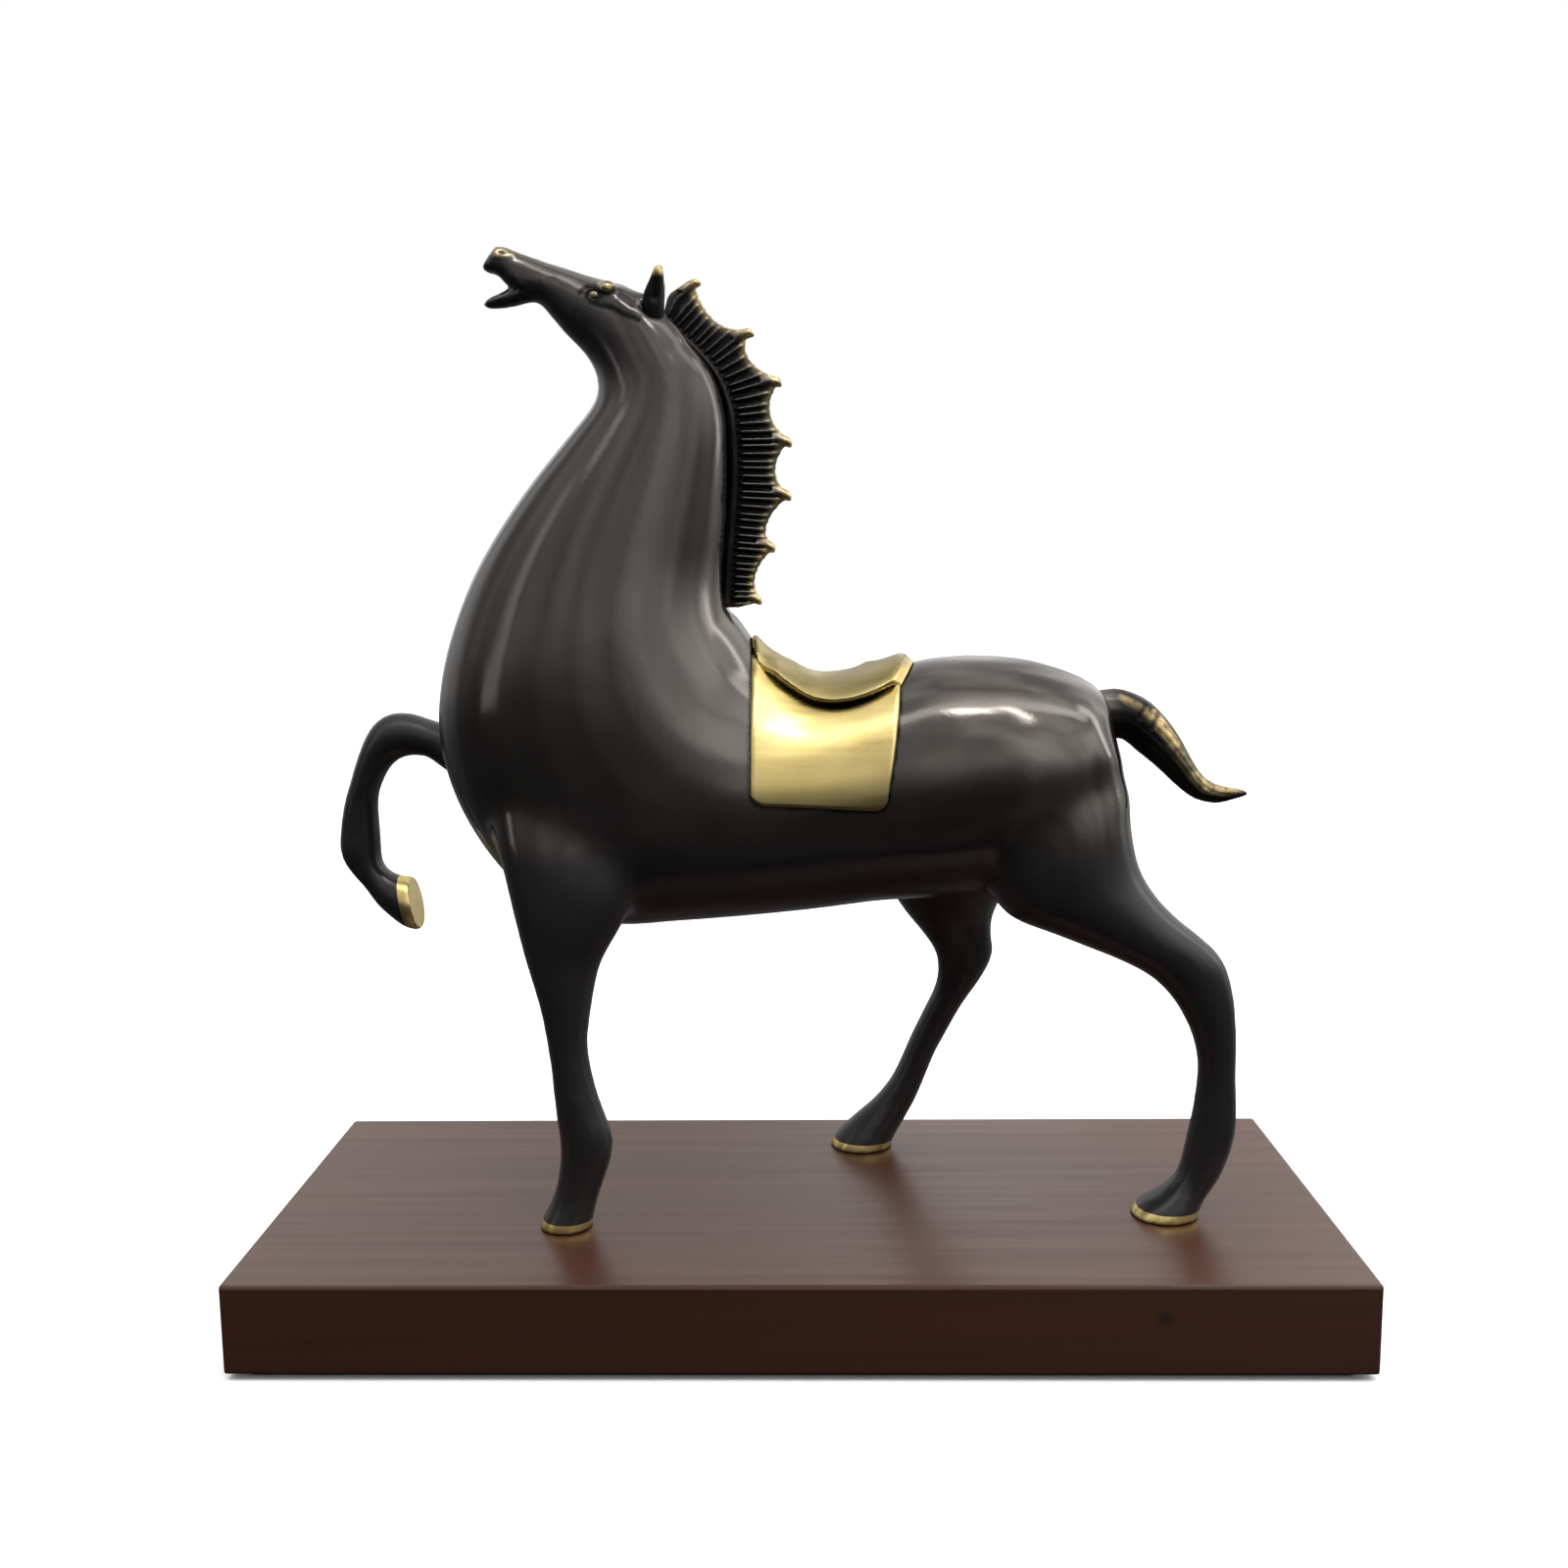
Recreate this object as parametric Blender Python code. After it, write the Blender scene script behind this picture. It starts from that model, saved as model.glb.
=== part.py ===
"""Prancing horse statue: a bronze horse, cast in pieces, with a brass saddle, on a wooden plinth.

Metres, +Z up. The origin is the middle of the base, and the horse faces -X.
"""
import math

import bmesh
import bpy
from mathutils import Matrix, Vector
from mathutils.bvhtree import BVHTree

# Plinth and felt
PLINTH_LENGTH = 0.400
PLINTH_DEPTH = 0.160
PLINTH_HEIGHT = 0.0327
PLINTH_EDGE = 0.0012
FELT_THICKNESS = 0.002
FELT_INSET = 0.004
FELT_CORNER = 0.006

# Clearances: between seated faces, and round pins and tangs in their sockets
SEAT_GAP = 0.0003
FIT_GAP = 0.0003

# Stud, washer and nut under each standing hoof
STUD_DIAMETER = 0.004
STUD_ENGAGEMENT = 0.0075
STUD_TAIL = 0.0015
NUT_WIDTH = 0.007
NUT_HEIGHT = 0.0032
WASHER_DIAMETER = 0.010
WASHER_THICKNESS = 0.001
COUNTERBORE_DIAMETER = 0.016
COUNTERBORE_DEPTH = 0.010

# Castings: height of the horse over the plinth, its place across it, and the pieces' sizes
HORSE_HEIGHT = 0.3607
HORSE_OFFSET = 0.008
CASTING_WALL = 0.005
COLLAR_WALL = 0.003
COLLAR_REACH = 0.010
HEAD_PIN_DIAMETER = 0.010
HEAD_PIN_REACH = 0.011
LEG_PIN_DIAMETER = 0.007
LEG_PIN_REACH = 0.009
SHOE_THICKNESS = 0.0032

# Mane
MANE_ROOT_HALF = 0.0062
MANE_EDGE_HALF = 0.0022
MANE_TANG = 0.003

# Saddle: its ends along the horse, and its heights from the back under its middle
FLAP_THICKNESS = 0.002
SEAT_THICKNESS = 0.0026
PEG_DIAMETER = 0.004
PEG_REACH = 0.010
FLAP_FRONT = -0.0155
FLAP_REAR = 0.0400
FLAP_REAR_DRAW = 0.0030
FLAP_DROP = 0.0436
FLAP_CORNER = 0.0070
SADDLE_RISE = 0.0192
LIP_RISE = 0.0049
LIP_SAG = 0.0110

# Reach of cuts: a length beyond the whole horse, and how far a drill runs past a face
CUT_REACH = 0.3
DRILL_OVERRUN = 0.01

# Fineness of the cast surfaces
BODY_VOXEL = 0.0012
BODY_SMOOTHING = 10
BODY_TRIANGLES = 5600
HEAD_VOXEL = 0.0008
HEAD_SMOOTHING = 5
HEAD_TRIANGLES = 1300
SKIN_SIDES = 28
SKIN_STEPS = 4
LOFT_SIDES = 14
LOFT_STEPS = 2
PIN_SIDES = 18
NUT_SIDES = 6
BROW_SEGMENTS = 16
BROW_RINGS = 10
CORNER_STEPS = 6
LIP_STEPS = 12
PLINTH_EDGE_STEPS = 2
SHARP_DEGREES = 32
SMOOTH_FACTOR = 0.5

# Heights of the plinth's faces
PLINTH_BOTTOM = FELT_THICKNESS + SEAT_GAP
PLINTH_TOP = PLINTH_BOTTOM + PLINTH_HEIGHT

# Height of the horse in the station tables, whose unit is a millimetre at the real size
TABLE_HEIGHT = 360.7
TABLE_UNIT = HORSE_HEIGHT / TABLE_HEIGHT
# Station tables, from the plinth's middle, its top and the horse's mid-plane.
# A row is one cross-section: the two ends of its outline in the side view (x, z, x, z),
# its half width across the horse and how far its middle lies from the mid-plane.
# Trunk and neck, from the tail root over the back and up the neck: back end, then belly or throat.
BODY = (
    (121.5, 191, 123, 176, 8, 0),
    (118.5, 196, 121, 158, 24, 0),
    (113, 199, 115, 142, 34, 0),
    (102, 204, 101, 130, 41, 0),
    (86, 208.5, 82, 121.5, 44.5, 0),
    (68, 210, 58, 117.5, 45, 0),
    (52, 209, 32, 116, 44, 0),
    (40, 206, 8, 113, 43, 0),
    (26, 201.5, -18, 110.5, 43, 0),
    (12, 199.5, -46, 108.5, 43.5, 0),
    (3, 201.5, -72, 107.5, 44.5, 0),
    (-6, 206, -97, 115, 45.5, 0),
    (-13, 211.2, -115.6, 132, 46, 0),
    (-18, 217, -129.4, 155.8, 46, 0),
    (-21.6, 223.8, -135.6, 180, 45, 0),
    (-24.2, 231.5, -134.2, 203, 43, 0),
    (-24.5, 243, -127, 227, 39, 0),
    (-23, 259, -116, 249, 34.5, 0),
    (-22, 277, -100, 272, 29.5, 0),
    (-21.8, 294, -84.5, 290.5, 25, 0),
    (-24.5, 309, -74.2, 302.5, 21.5, 0),
    (-31, 321.5, -71.3, 309.5, 19, 0),
    (-41, 330, -72.5, 315, 17.5, 0),
    (-48, 336.5, -76, 321, 16, 0),
)
# First and last station of the hollow core
CORE_FIRST = 3
CORE_LAST = 19

# Head, from the neck to the upper lip: brow line, then jaw line
HEAD = (
    (-31, 321.5, -71.3, 309.5, 19, 0),
    (-39, 331.5, -72, 314.5, 17.5, 0),
    (-47, 340, -74.5, 320, 16, 0),
    (-55, 344.8, -78.5, 325, 14.2, 0),
    (-64, 347.5, -83.5, 330, 12.4, 0),
    (-73, 349.9, -88.5, 336, 10.4, 0),
    (-82, 352.9, -93, 340, 8.8, 0),
    (-90, 355.5, -98, 340.6, 7.5, 0),
    (-98, 358.4, -102.3, 340.2, 6.8, 0),
    (-103.4, 360.1, -104.8, 348, 6.4, 0),
    (-108.3, 360.6, -108.6, 350, 6.3, 0),
    (-111.2, 358.9, -111.1, 351.4, 5.2, 0),
    (-112.4, 356.8, -112.2, 353.4, 3, 0),
)
# Lower jaw, from inside the head to the lip
JAW = (
    (-93, 347.5, -95, 340.2, 5.6, 0),
    (-101, 346.3, -102, 339.6, 5.2, 0),
    (-107, 344.4, -107.4, 339, 4.6, 0),
    (-111.4, 342.6, -111.6, 338.8, 3.6, 0),
    (-113.2, 341.2, -113.2, 339.4, 1.9, 0),
)
# Brow ridge over each eye: middle, then half sizes
BROW = (-66.5, 343.6, 10.4)
BROW_HALF = (4.6, 3.2, 3.0)

# Ears, from the tang in the head to the tip: front, then back
EAR = (
    (-54, 333, -47.5, 331.5, 3, 8),
    (-54.8, 338, -46.8, 336.5, 3.4, 8.6),
    (-54, 343.5, -46.6, 343, 3.2, 9.4),
    (-51.8, 348, -46.4, 348, 2.6, 9.8),
    (-50.4, 351.2, -46.5, 351.2, 1.9, 10.1),
    (-49.3, 352.8, -47.2, 352.8, 1, 10.3),
)

# Legs, from inside the trunk to just past the sole: front, then back
FORELEG_LEFT = (
    (-113, 160, -58, 165, 15, -25),
    (-110, 143, -55, 143, 16, -29),
    (-105.6, 128, -57, 126, 15, -32),
    (-101.8, 116, -64, 113, 13.2, -34),
    (-98.6, 103, -71.5, 100, 11, -35),
    (-94.8, 86, -75, 85, 9.4, -36),
    (-92.1, 70, -77.1, 70, 8.2, -36.6),
    (-90.5, 56, -75.1, 56, 7.8, -37.2),
    (-89.8, 44, -71.7, 44.5, 8, -37.6),
    (-88.6, 35, -68.5, 35.5, 8.2, -38),
    (-88.4, 29, -68.6, 29, 8.2, -38),
    (-88.8, 24.5, -70.1, 23, 8, -38),
    (-90.4, 15.5, -73.6, 13.5, 8, -38),
    (-93.8, 6.5, -76.2, 5, 9.2, -38),
    (-97, 1.5, -77.1, 0.5, 10.3, -38.2),
    (-98, -3, -77.5, -3, 10.7, -38.2),
)
FORELEG_RIGHT = (
    (-96, 172, -100, 128, 20, 20),
    (-118, 179, -116, 145, 17, 25),
    (-133, 181.5, -132, 154.5, 12.5, 30),
    (-145, 182.8, -144, 166.3, 9.8, 33),
    (-155, 186.2, -153.2, 169, 9.3, 34),
    (-164, 186.8, -159.2, 168.6, 9.2, 34),
    (-172.2, 181.2, -162.8, 166.6, 8.9, 34),
    (-177.8, 170.6, -165.6, 164.1, 8.3, 34),
    (-181.5, 160, -168.7, 158.6, 7.7, 34),
    (-184.8, 150.5, -171.1, 151.5, 7.3, 34),
    (-186.8, 141, -171, 142, 7.2, 34),
    (-187.8, 132, -170.6, 133, 7.4, 34),
    (-186.8, 126.2, -170.7, 126, 7.4, 34),
    (-182.6, 119.8, -168.4, 121.6, 7.1, 34),
    (-177.8, 114, -163.9, 119.5, 7.4, 34),
    (-173, 107, -161.3, 118.2, 8.6, 34),
    (-166, 100.8, -159.9, 118, 9.8, 34),
    (-160.5, 97, -158.8, 117.7, 10.4, 34),
    (-154.8, 95.6, -156.3, 117.4, 10.6, 34),
)
HINDLEG_LEFT = (
    (62, 152, 117, 184, 26, -14),
    (70, 127, 123, 158, 25, -19),
    (79, 114.8, 125.8, 137, 21, -23),
    (94, 108.8, 131, 125, 17, -26),
    (108.6, 103.2, 140, 114.7, 13.5, -28),
    (122.5, 97.3, 150, 106.7, 11.4, -29),
    (133, 90.8, 157.4, 98.6, 10.2, -29.3),
    (140.4, 81.8, 160.7, 87.1, 9.2, -29.5),
    (145.6, 71.4, 162.2, 73, 8.4, -29.5),
    (148.8, 60, 162.9, 60, 7.8, -29.5),
    (148.8, 49, 163.6, 49, 7.7, -29.5),
    (147.3, 38, 164.3, 38, 7.9, -29.5),
    (144.8, 26, 162.8, 26.5, 8, -29.5),
    (142.3, 15.5, 158.4, 15, 8.2, -29.3),
    (136.3, 9.7, 154.2, 8.5, 9.2, -29),
    (129.6, 5.4, 151.5, 3.8, 11.1, -29),
    (125.2, 1, 149.9, 0.3, 12.3, -29),
    (124, -3, 149.6, -3, 12.6, -29),
)
HINDLEG_RIGHT = (
    (24, 160, 100, 168, 26, 18),
    (30, 135, 96, 140, 24, 24),
    (36, 117, 88, 118, 19, 30),
    (43.3, 104, 81.6, 105, 14, 35),
    (50.6, 94, 79.8, 94.5, 11.2, 38),
    (55.8, 85.5, 81.1, 86, 9.7, 39.5),
    (57.4, 78, 79.7, 80, 9, 40),
    (56, 69.4, 75, 71.6, 8.2, 40.5),
    (52, 59.9, 68.4, 62.1, 7.7, 41),
    (47.4, 49.4, 62.6, 51.1, 7.4, 41.5),
    (43.3, 39.4, 57.4, 41.1, 7.5, 42),
    (39, 29.9, 53.8, 32.1, 7.8, 42),
    (32, 20.9, 49.8, 22, 8, 42),
    (25.2, 14.7, 45.8, 14, 8.7, 42),
    (17.3, 7.4, 41.4, 6.5, 10.6, 42),
    (13.2, 1.8, 37.9, 0.8, 12.1, 42),
    (12, -3, 37.2, -3, 12.4, 42),
)

# Tail, from the tang in the rump to the tip: upper edge, then lower edge
TAIL = (
    (112.5, 195.5, 109, 180, 7.4, 0),
    (121, 196.8, 117, 178, 7.8, 0),
    (128.3, 195.1, 124.5, 177.2, 7.9, 0),
    (135.2, 191.2, 130, 172.8, 7.8, 0),
    (141.5, 184.8, 136, 168, 7.2, 0),
    (147, 177, 141.5, 163, 6.3, 0),
    (151.5, 168.8, 147, 158, 5.2, 0),
    (156.5, 162, 153, 154, 4.2, 0),
    (163, 158.8, 160.5, 152.3, 3.2, 0),
    (168.5, 157.8, 168, 154, 2.2, 0),
    (172.5, 156.8, 172.5, 155.3, 1, 0),
)

# Mane: each point of the comb with its root on the crest, and the bend of the edge before each point
MANE_TOP = (-46.6, 336.6, -45.4, 339)
MANE_POINTS = (
    (-42.5, 333, -35.3, 347.7),
    (-29, 319, -15.2, 330.9),
    (-22.8, 305, -3.8, 312.6),
    (-21.5, 288, -0.6, 290.4),
    (-21.9, 269, -0.8, 270),
    (-23.6, 251, -7, 250.6),
    (-25, 233.5, -12.2, 231.4),
)
MANE_HOLLOWS = (
    (-42.5, 346.5), (-29.5, 328.5), (-20.5, 318.5), (-12.5, 299.5), (-10.5, 278.5), (-14.2, 258.5),
    (-17.6, 240), (-17, 229),
)
MANE_FOOT = (-25, 228.6, -20, 228.6)
MANE_STEPS = 6

# Joint planes: a point in the side view, the direction away from the trunk, the mid of the limb
# and the reach across the horse of the box that holds the limb
JOINTS = {
    "foreleg_left": ((-84.8, 102), (0, -1), -35, (-70, -5)),
    "foreleg_right": ((-144.8, 175.3), (-1, 0), 33, (5, 70)),
    "hindleg_left": ((124.5, 109.2), (0.833, -0.553), -28, (-70, -2)),
    "hindleg_right": ((62.5, 104.5), (0.136, -0.991), 35, (10, 80)),
}
JOINT_REACH = 140
JOINT_HALF = 110
HOOF_REACH = 28
NECK_JOINT = ((-79, 211), (-0.26, 0.966))
HEAD_JOINT = ((-54.5, 318.5), (-0.385, 0.923))
RAISED_SOLE = ((-158.5, 107.2), (0.986, 0.167))
PEG_PLACES = (-3, 29)

LEGS = {
    "foreleg_left": FORELEG_LEFT,
    "foreleg_right": FORELEG_RIGHT,
    "hindleg_left": HINDLEG_LEFT,
    "hindleg_right": HINDLEG_RIGHT,
}
STANDING = ("foreleg_left", "hindleg_left", "hindleg_right")
# Stations of a leg table that lie at its sole and at its pastern, counted from the end
SOLE_STATION = -1
PASTERN_STATION = -4


def mm(value):
    """A table's value in metres."""
    return value * TABLE_UNIT


# Materials: base colour, roughness, metallic
FINISHES = {
    "bronze_patina": ((0.055, 0.050, 0.046), 0.32, 0.9),
    "black_patina": ((0.018, 0.017, 0.016), 0.45, 0.8),
    "polished_brass": ((0.72, 0.55, 0.24), 0.28, 1.0),
    "stained_wood": ((0.085, 0.035, 0.022), 0.38, 0.0),
    "felt": ((0.025, 0.030, 0.025), 0.95, 0.0),
    "steel": ((0.55, 0.55, 0.55), 0.35, 1.0),
}


def finish(obj, name):
    """Gives an object its material, made on first use."""
    material = bpy.data.materials.get(name)
    if material is None:
        material = bpy.data.materials.new(name)
        material.use_nodes = True
        shader = material.node_tree.nodes["Principled BSDF"]
        colour, roughness, metallic = FINISHES[name]
        shader.inputs["Base Color"].default_value = (*colour, 1)
        shader.inputs["Roughness"].default_value = roughness
        shader.inputs["Metallic"].default_value = metallic
    obj.data.materials.clear()
    obj.data.materials.append(material)
    obj.data.shade_smooth()
    obj.data.set_sharp_from_angle(angle=math.radians(SHARP_DEGREES))


def new_object(name, shape):
    """An object from a bmesh, with its faces pointing out."""
    bmesh.ops.recalc_face_normals(shape, faces=shape.faces)
    mesh = bpy.data.meshes.new(name)
    shape.to_mesh(mesh)
    shape.free()
    obj = bpy.data.objects.new(name, mesh)
    bpy.context.scene.collection.objects.link(obj)
    return obj


def settle(obj):
    """Replaces an object's mesh by the one that its modifiers make."""
    graph = bpy.context.evaluated_depsgraph_get()
    mesh = bpy.data.meshes.new_from_object(obj.evaluated_get(graph))
    obj.modifiers.clear()
    obj.data = mesh


def copy_of(obj, name):
    """A separate copy of an object."""
    twin = bpy.data.objects.new(name, obj.data.copy())
    bpy.context.scene.collection.objects.link(twin)
    return twin


def carve(obj, operation, *cutters):
    """Boolean of an object with cutters that are then thrown away."""
    for cutter in cutters:
        modifier = obj.modifiers.new(operation.lower(), "BOOLEAN")
        modifier.operation = operation
        modifier.solver = "EXACT"
        modifier.object = cutter
        settle(obj)
        bpy.data.objects.remove(cutter)
    return obj


def spline(rows, steps):
    """Rows on a smooth curve through the given rows, with steps between each pair."""
    smooth = []
    last = len(rows) - 1
    for index in range(last):
        before = rows[max(index - 1, 0)]
        start = rows[index]
        end = rows[index + 1]
        after = rows[min(index + 2, last)]
        for step in range(steps):
            t = step / steps
            smooth.append([
                0.5 * (2 * b + (c - a) * t + (2 * a - 5 * b + 4 * c - d) * t * t
                       + (3 * b - 3 * c + d - a) * t ** 3)
                for a, b, c, d in zip(before, start, end, after)
            ])
    smooth.append(list(rows[last]))
    return smooth


def bridge(shape, rings):
    """Walls between rings of points, closed with a cap at each end."""
    loops = [[shape.verts.new(point) for point in ring] for ring in rings]
    for near, far in zip(loops, loops[1:]):
        for side in range(len(near)):
            following = (side + 1) % len(near)
            shape.faces.new((near[side], near[following], far[following], far[side]))
    shape.faces.new(loops[0])
    shape.faces.new(loops[-1])


def section(row):
    """Middle of a station and its half vector in the side view, in metres."""
    front_x, front_z, back_x, back_z, half_width, offset = (mm(value) for value in row)
    middle = Vector(((front_x + back_x) / 2, offset, (front_z + back_z) / 2))
    half = Vector(((front_x - back_x) / 2, 0, (front_z - back_z) / 2))
    return middle, half, half_width


def loft(shape, rows, grow=0.0, sides=LOFT_SIDES, steps=LOFT_STEPS):
    """Adds a closed oval skin through a station table, grown or shrunk all over."""
    sections = [section(row) for row in spline(rows, steps)]
    first_step = (sections[0][0] - sections[1][0]).normalized()
    last_step = (sections[-1][0] - sections[-2][0]).normalized()
    rings = []
    for index, (middle, half, half_width) in enumerate(sections):
        if index == 0:
            middle = middle + first_step * grow
        if index == len(sections) - 1:
            middle = middle + last_step * grow
        reach = half.normalized() * (half.length + grow)
        across = Vector((0, half_width + grow, 0))
        turns = [2 * math.pi * side / sides for side in range(sides)]
        rings.append([middle + reach * math.cos(a) + across * math.sin(a) for a in turns])
    bridge(shape, rings)


def loft_object(name, rows, grow=0.0):
    """An object made of one loft."""
    shape = bmesh.new()
    loft(shape, rows, grow)
    return new_object(name, shape)


def cast_skin(name, shape, voxel, smoothing, triangles):
    """One smooth closed skin over overlapping forms."""
    obj = new_object(name, shape)
    remesh = obj.modifiers.new("skin", "REMESH")
    remesh.mode = "VOXEL"
    remesh.voxel_size = voxel
    smooth = obj.modifiers.new("chasing", "SMOOTH")
    smooth.factor = SMOOTH_FACTOR
    smooth.iterations = smoothing
    settle(obj)
    decimate = obj.modifiers.new("facets", "DECIMATE")
    decimate.ratio = triangles / (2 * len(obj.data.polygons))
    settle(obj)
    return obj


def side_direction(direction):
    """Unit vector in the side view."""
    return Vector((direction[0], 0, direction[1])).normalized()


def side_point(point, offset=0):
    """Point in the side view, at an offset from the mid-plane."""
    return Vector((mm(point[0]), mm(offset), mm(point[1])))


def slab(plane, start, end=CUT_REACH, half=CUT_REACH, across=(-CUT_REACH, CUT_REACH)):
    """A box from start to end beyond a plane, as wide and high as asked."""
    axis = side_direction(plane[1])
    upright = Vector((-axis.z, 0, axis.x))
    origin = side_point(plane[0])
    shape = bmesh.new()
    rings = []
    for along in (start, end):
        ring = []
        for rise, side in ((-half, 0), (half, 0), (half, 1), (-half, 1)):
            ring.append(origin + axis * along + upright * rise + Vector((0, across[side], 0)))
        rings.append(ring)
    bridge(shape, rings)
    return new_object("slab", shape)


def cylinder(name, middle, axis, radius, start, end, sides=PIN_SIDES):
    """A closed cylinder along an axis through a point."""
    turn = axis.to_track_quat("Z", "Y").to_matrix().to_4x4()
    place = Matrix.Translation(middle + axis * (start + end) / 2) @ turn
    shape = bmesh.new()
    bmesh.ops.create_cone(shape, cap_ends=True, segments=sides, radius1=radius, radius2=radius,
                          depth=end - start, matrix=place)
    return new_object(name, shape)


def outline_prism(points, half_width):
    """A side-view outline carried right across the horse."""
    shape = bmesh.new()
    rings = [[Vector((x, y, z)) for x, z in points] for y in (-half_width, half_width)]
    bridge(shape, rings)
    return new_object("prism", shape)


def body_skin():
    """Trunk, neck and legs as one skin, still to be cut at the joints."""
    shape = bmesh.new()
    for rows in (BODY, *LEGS.values()):
        loft(shape, rows, 0, SKIN_SIDES, SKIN_STEPS)
    return cast_skin("body_skin", shape, BODY_VOXEL, BODY_SMOOTHING, BODY_TRIANGLES)


def head_skin():
    """Head with its open mouth and brows, from the neck on."""
    shape = bmesh.new()
    for rows in (HEAD, JAW):
        loft(shape, rows, 0, SKIN_SIDES, SKIN_STEPS)
    for side in (-1, 1):
        middle = Vector((mm(BROW[0]), side * mm(BROW[2]), mm(BROW[1])))
        scale = Matrix.Diagonal((*(mm(half) for half in BROW_HALF), 1))
        bmesh.ops.create_uvsphere(shape, u_segments=BROW_SEGMENTS, v_segments=BROW_RINGS, radius=1,
                                  matrix=Matrix.Translation(middle) @ scale)
    return cast_skin("head_skin", shape, HEAD_VOXEL, HEAD_SMOOTHING, HEAD_TRIANGLES)


def mane(name, grow=0.0):
    """Comb with points and hollows, wedge-shaped across, set into the crest."""
    tops = [MANE_TOP, *MANE_POINTS, MANE_FOOT]
    edge = []
    for index in range(len(tops) - 1):
        start = tops[index]
        end = tops[index + 1]
        bend = MANE_HOLLOWS[index]
        for step in range(MANE_STEPS):
            t = step / MANE_STEPS
            weights = ((1 - t) ** 2, 2 * t * (1 - t), t * t)
            edge.append([sum(w * v for w, v in zip(weights, values))
                         for values in zip(start[2:], bend, end[2:])])
    edge.append(tops[-1][2:])
    roots = spline([top[:2] for top in tops], MANE_STEPS)
    rings = []
    for order, (root, outer) in enumerate(zip(roots, edge)):
        low = side_point(root)
        high = side_point(outer)
        rise = (high - low).normalized()
        along = Vector((rise.z, 0, -rise.x))
        shift = -grow if order == 0 else grow if order == len(edge) - 1 else 0
        foot = low - rise * (MANE_TANG + grow) + along * shift
        tip = high + rise * grow + along * shift
        ring = []
        for spot, half in ((foot, MANE_ROOT_HALF), (tip, MANE_EDGE_HALF)):
            ring.append([spot + Vector((0, side * (half + grow), 0)) for side in (-1, 1)])
        rings.append([ring[0][0], ring[0][1], ring[1][1], ring[1][0]])
    shape = bmesh.new()
    bridge(shape, rings)
    return new_object(name, shape)


def mirrored(rows):
    """A station table for the other side of the horse."""
    return [(*row[:5], -row[5]) for row in rows]


def offset_skin(skin, amount):
    """A copy of a skin, moved out along its normals."""
    shell = copy_of(skin, "offset")
    displace = shell.modifiers.new("offset", "DISPLACE")
    displace.mid_level = 0
    displace.strength = amount
    settle(shell)
    return shell


def arc(centre, radius, start, end, steps=CORNER_STEPS):
    """Points on an arc, angles in degrees."""
    turns = [math.radians(start + (end - start) * step / steps) for step in range(steps + 1)]
    return [(centre[0] + radius * math.cos(a), centre[1] + radius * math.sin(a)) for a in turns]


def flap_outline(back):
    """Side view of the saddle flap: rounded lower corners, open to above the back."""
    above = back + SADDLE_RISE
    rear = FLAP_REAR - FLAP_REAR_DRAW
    low = back - FLAP_DROP + FLAP_CORNER
    points = [(FLAP_FRONT, above)]
    points += arc((FLAP_FRONT + FLAP_CORNER, low), FLAP_CORNER, 180, 270)
    points += arc((rear - FLAP_CORNER, low), FLAP_CORNER, 270, 360)
    points += [(FLAP_REAR, back + LIP_RISE), (FLAP_REAR, above)]
    return points


def seat_outline(back):
    """Side view of the saddle seat: everything above a sagging lip."""
    above = back + SADDLE_RISE
    front = FLAP_FRONT - SEAT_THICKNESS
    rear = FLAP_REAR + SEAT_THICKNESS
    middle = (front + rear) / 2
    half = (rear - front) / 2
    radius = (half * half + LIP_SAG * LIP_SAG) / (2 * LIP_SAG)
    spread = math.degrees(math.asin(half / radius))
    centre = (middle, back + LIP_RISE - LIP_SAG + radius)
    lip = arc(centre, radius, 270 - spread, 270 + spread, LIP_STEPS)
    return [(front, above), *lip, (rear, above)]


def back_height(skin, place, reach=0.0):
    """Lowest height of the back within reach of a place along its middle."""
    shape = bmesh.new()
    shape.from_mesh(skin.data)
    tree = BVHTree.FromBMesh(shape)
    shape.free()
    heights = []
    for x, y in ((reach, 0), (-reach, 0), (0, reach), (0, -reach)):
        above = Vector((place + x, y, CUT_REACH))
        heights.append(tree.ray_cast(above, Vector((0, 0, -1)))[0].z)
    return min(heights)


def make_saddle(skin, trunk):
    """Flap over the back, seat over the flap and two pegs into the trunk."""
    back = back_height(skin, (FLAP_FRONT + FLAP_REAR) / 2)
    lift = SEAT_GAP
    flap = offset_skin(skin, lift + FLAP_THICKNESS)
    flap.name = "saddle_flap"
    carve(flap, "INTERSECT", outline_prism(flap_outline(back), CUT_REACH))
    carve(flap, "DIFFERENCE", offset_skin(skin, lift))
    lift += FLAP_THICKNESS + SEAT_GAP
    seat = offset_skin(skin, lift + SEAT_THICKNESS)
    seat.name = "saddle_seat"
    carve(seat, "INTERSECT", outline_prism(seat_outline(back), CUT_REACH))
    carve(seat, "DIFFERENCE", offset_skin(skin, lift))
    pegs = []
    for name, place in zip(("saddle_peg_front", "saddle_peg_rear"), PEG_PLACES):
        hole = PEG_DIAMETER / 2 + FIT_GAP
        top = back_height(skin, mm(place), hole) + SEAT_GAP + FLAP_THICKNESS
        middle = Vector((mm(place), 0, top))
        up = Vector((0, 0, 1))
        for piece in (flap, trunk):
            drill = cylinder("hole", middle, up, hole, -PEG_REACH - DRILL_OVERRUN, DRILL_OVERRUN)
            carve(piece, "DIFFERENCE", drill)
        pegs.append(cylinder(name, middle, up, PEG_DIAMETER / 2, -PEG_REACH, 0))
        finish(pegs[-1], "steel")
    for piece in (flap, seat):
        finish(piece, "polished_brass")
    return [flap, seat, *pegs]


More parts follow.
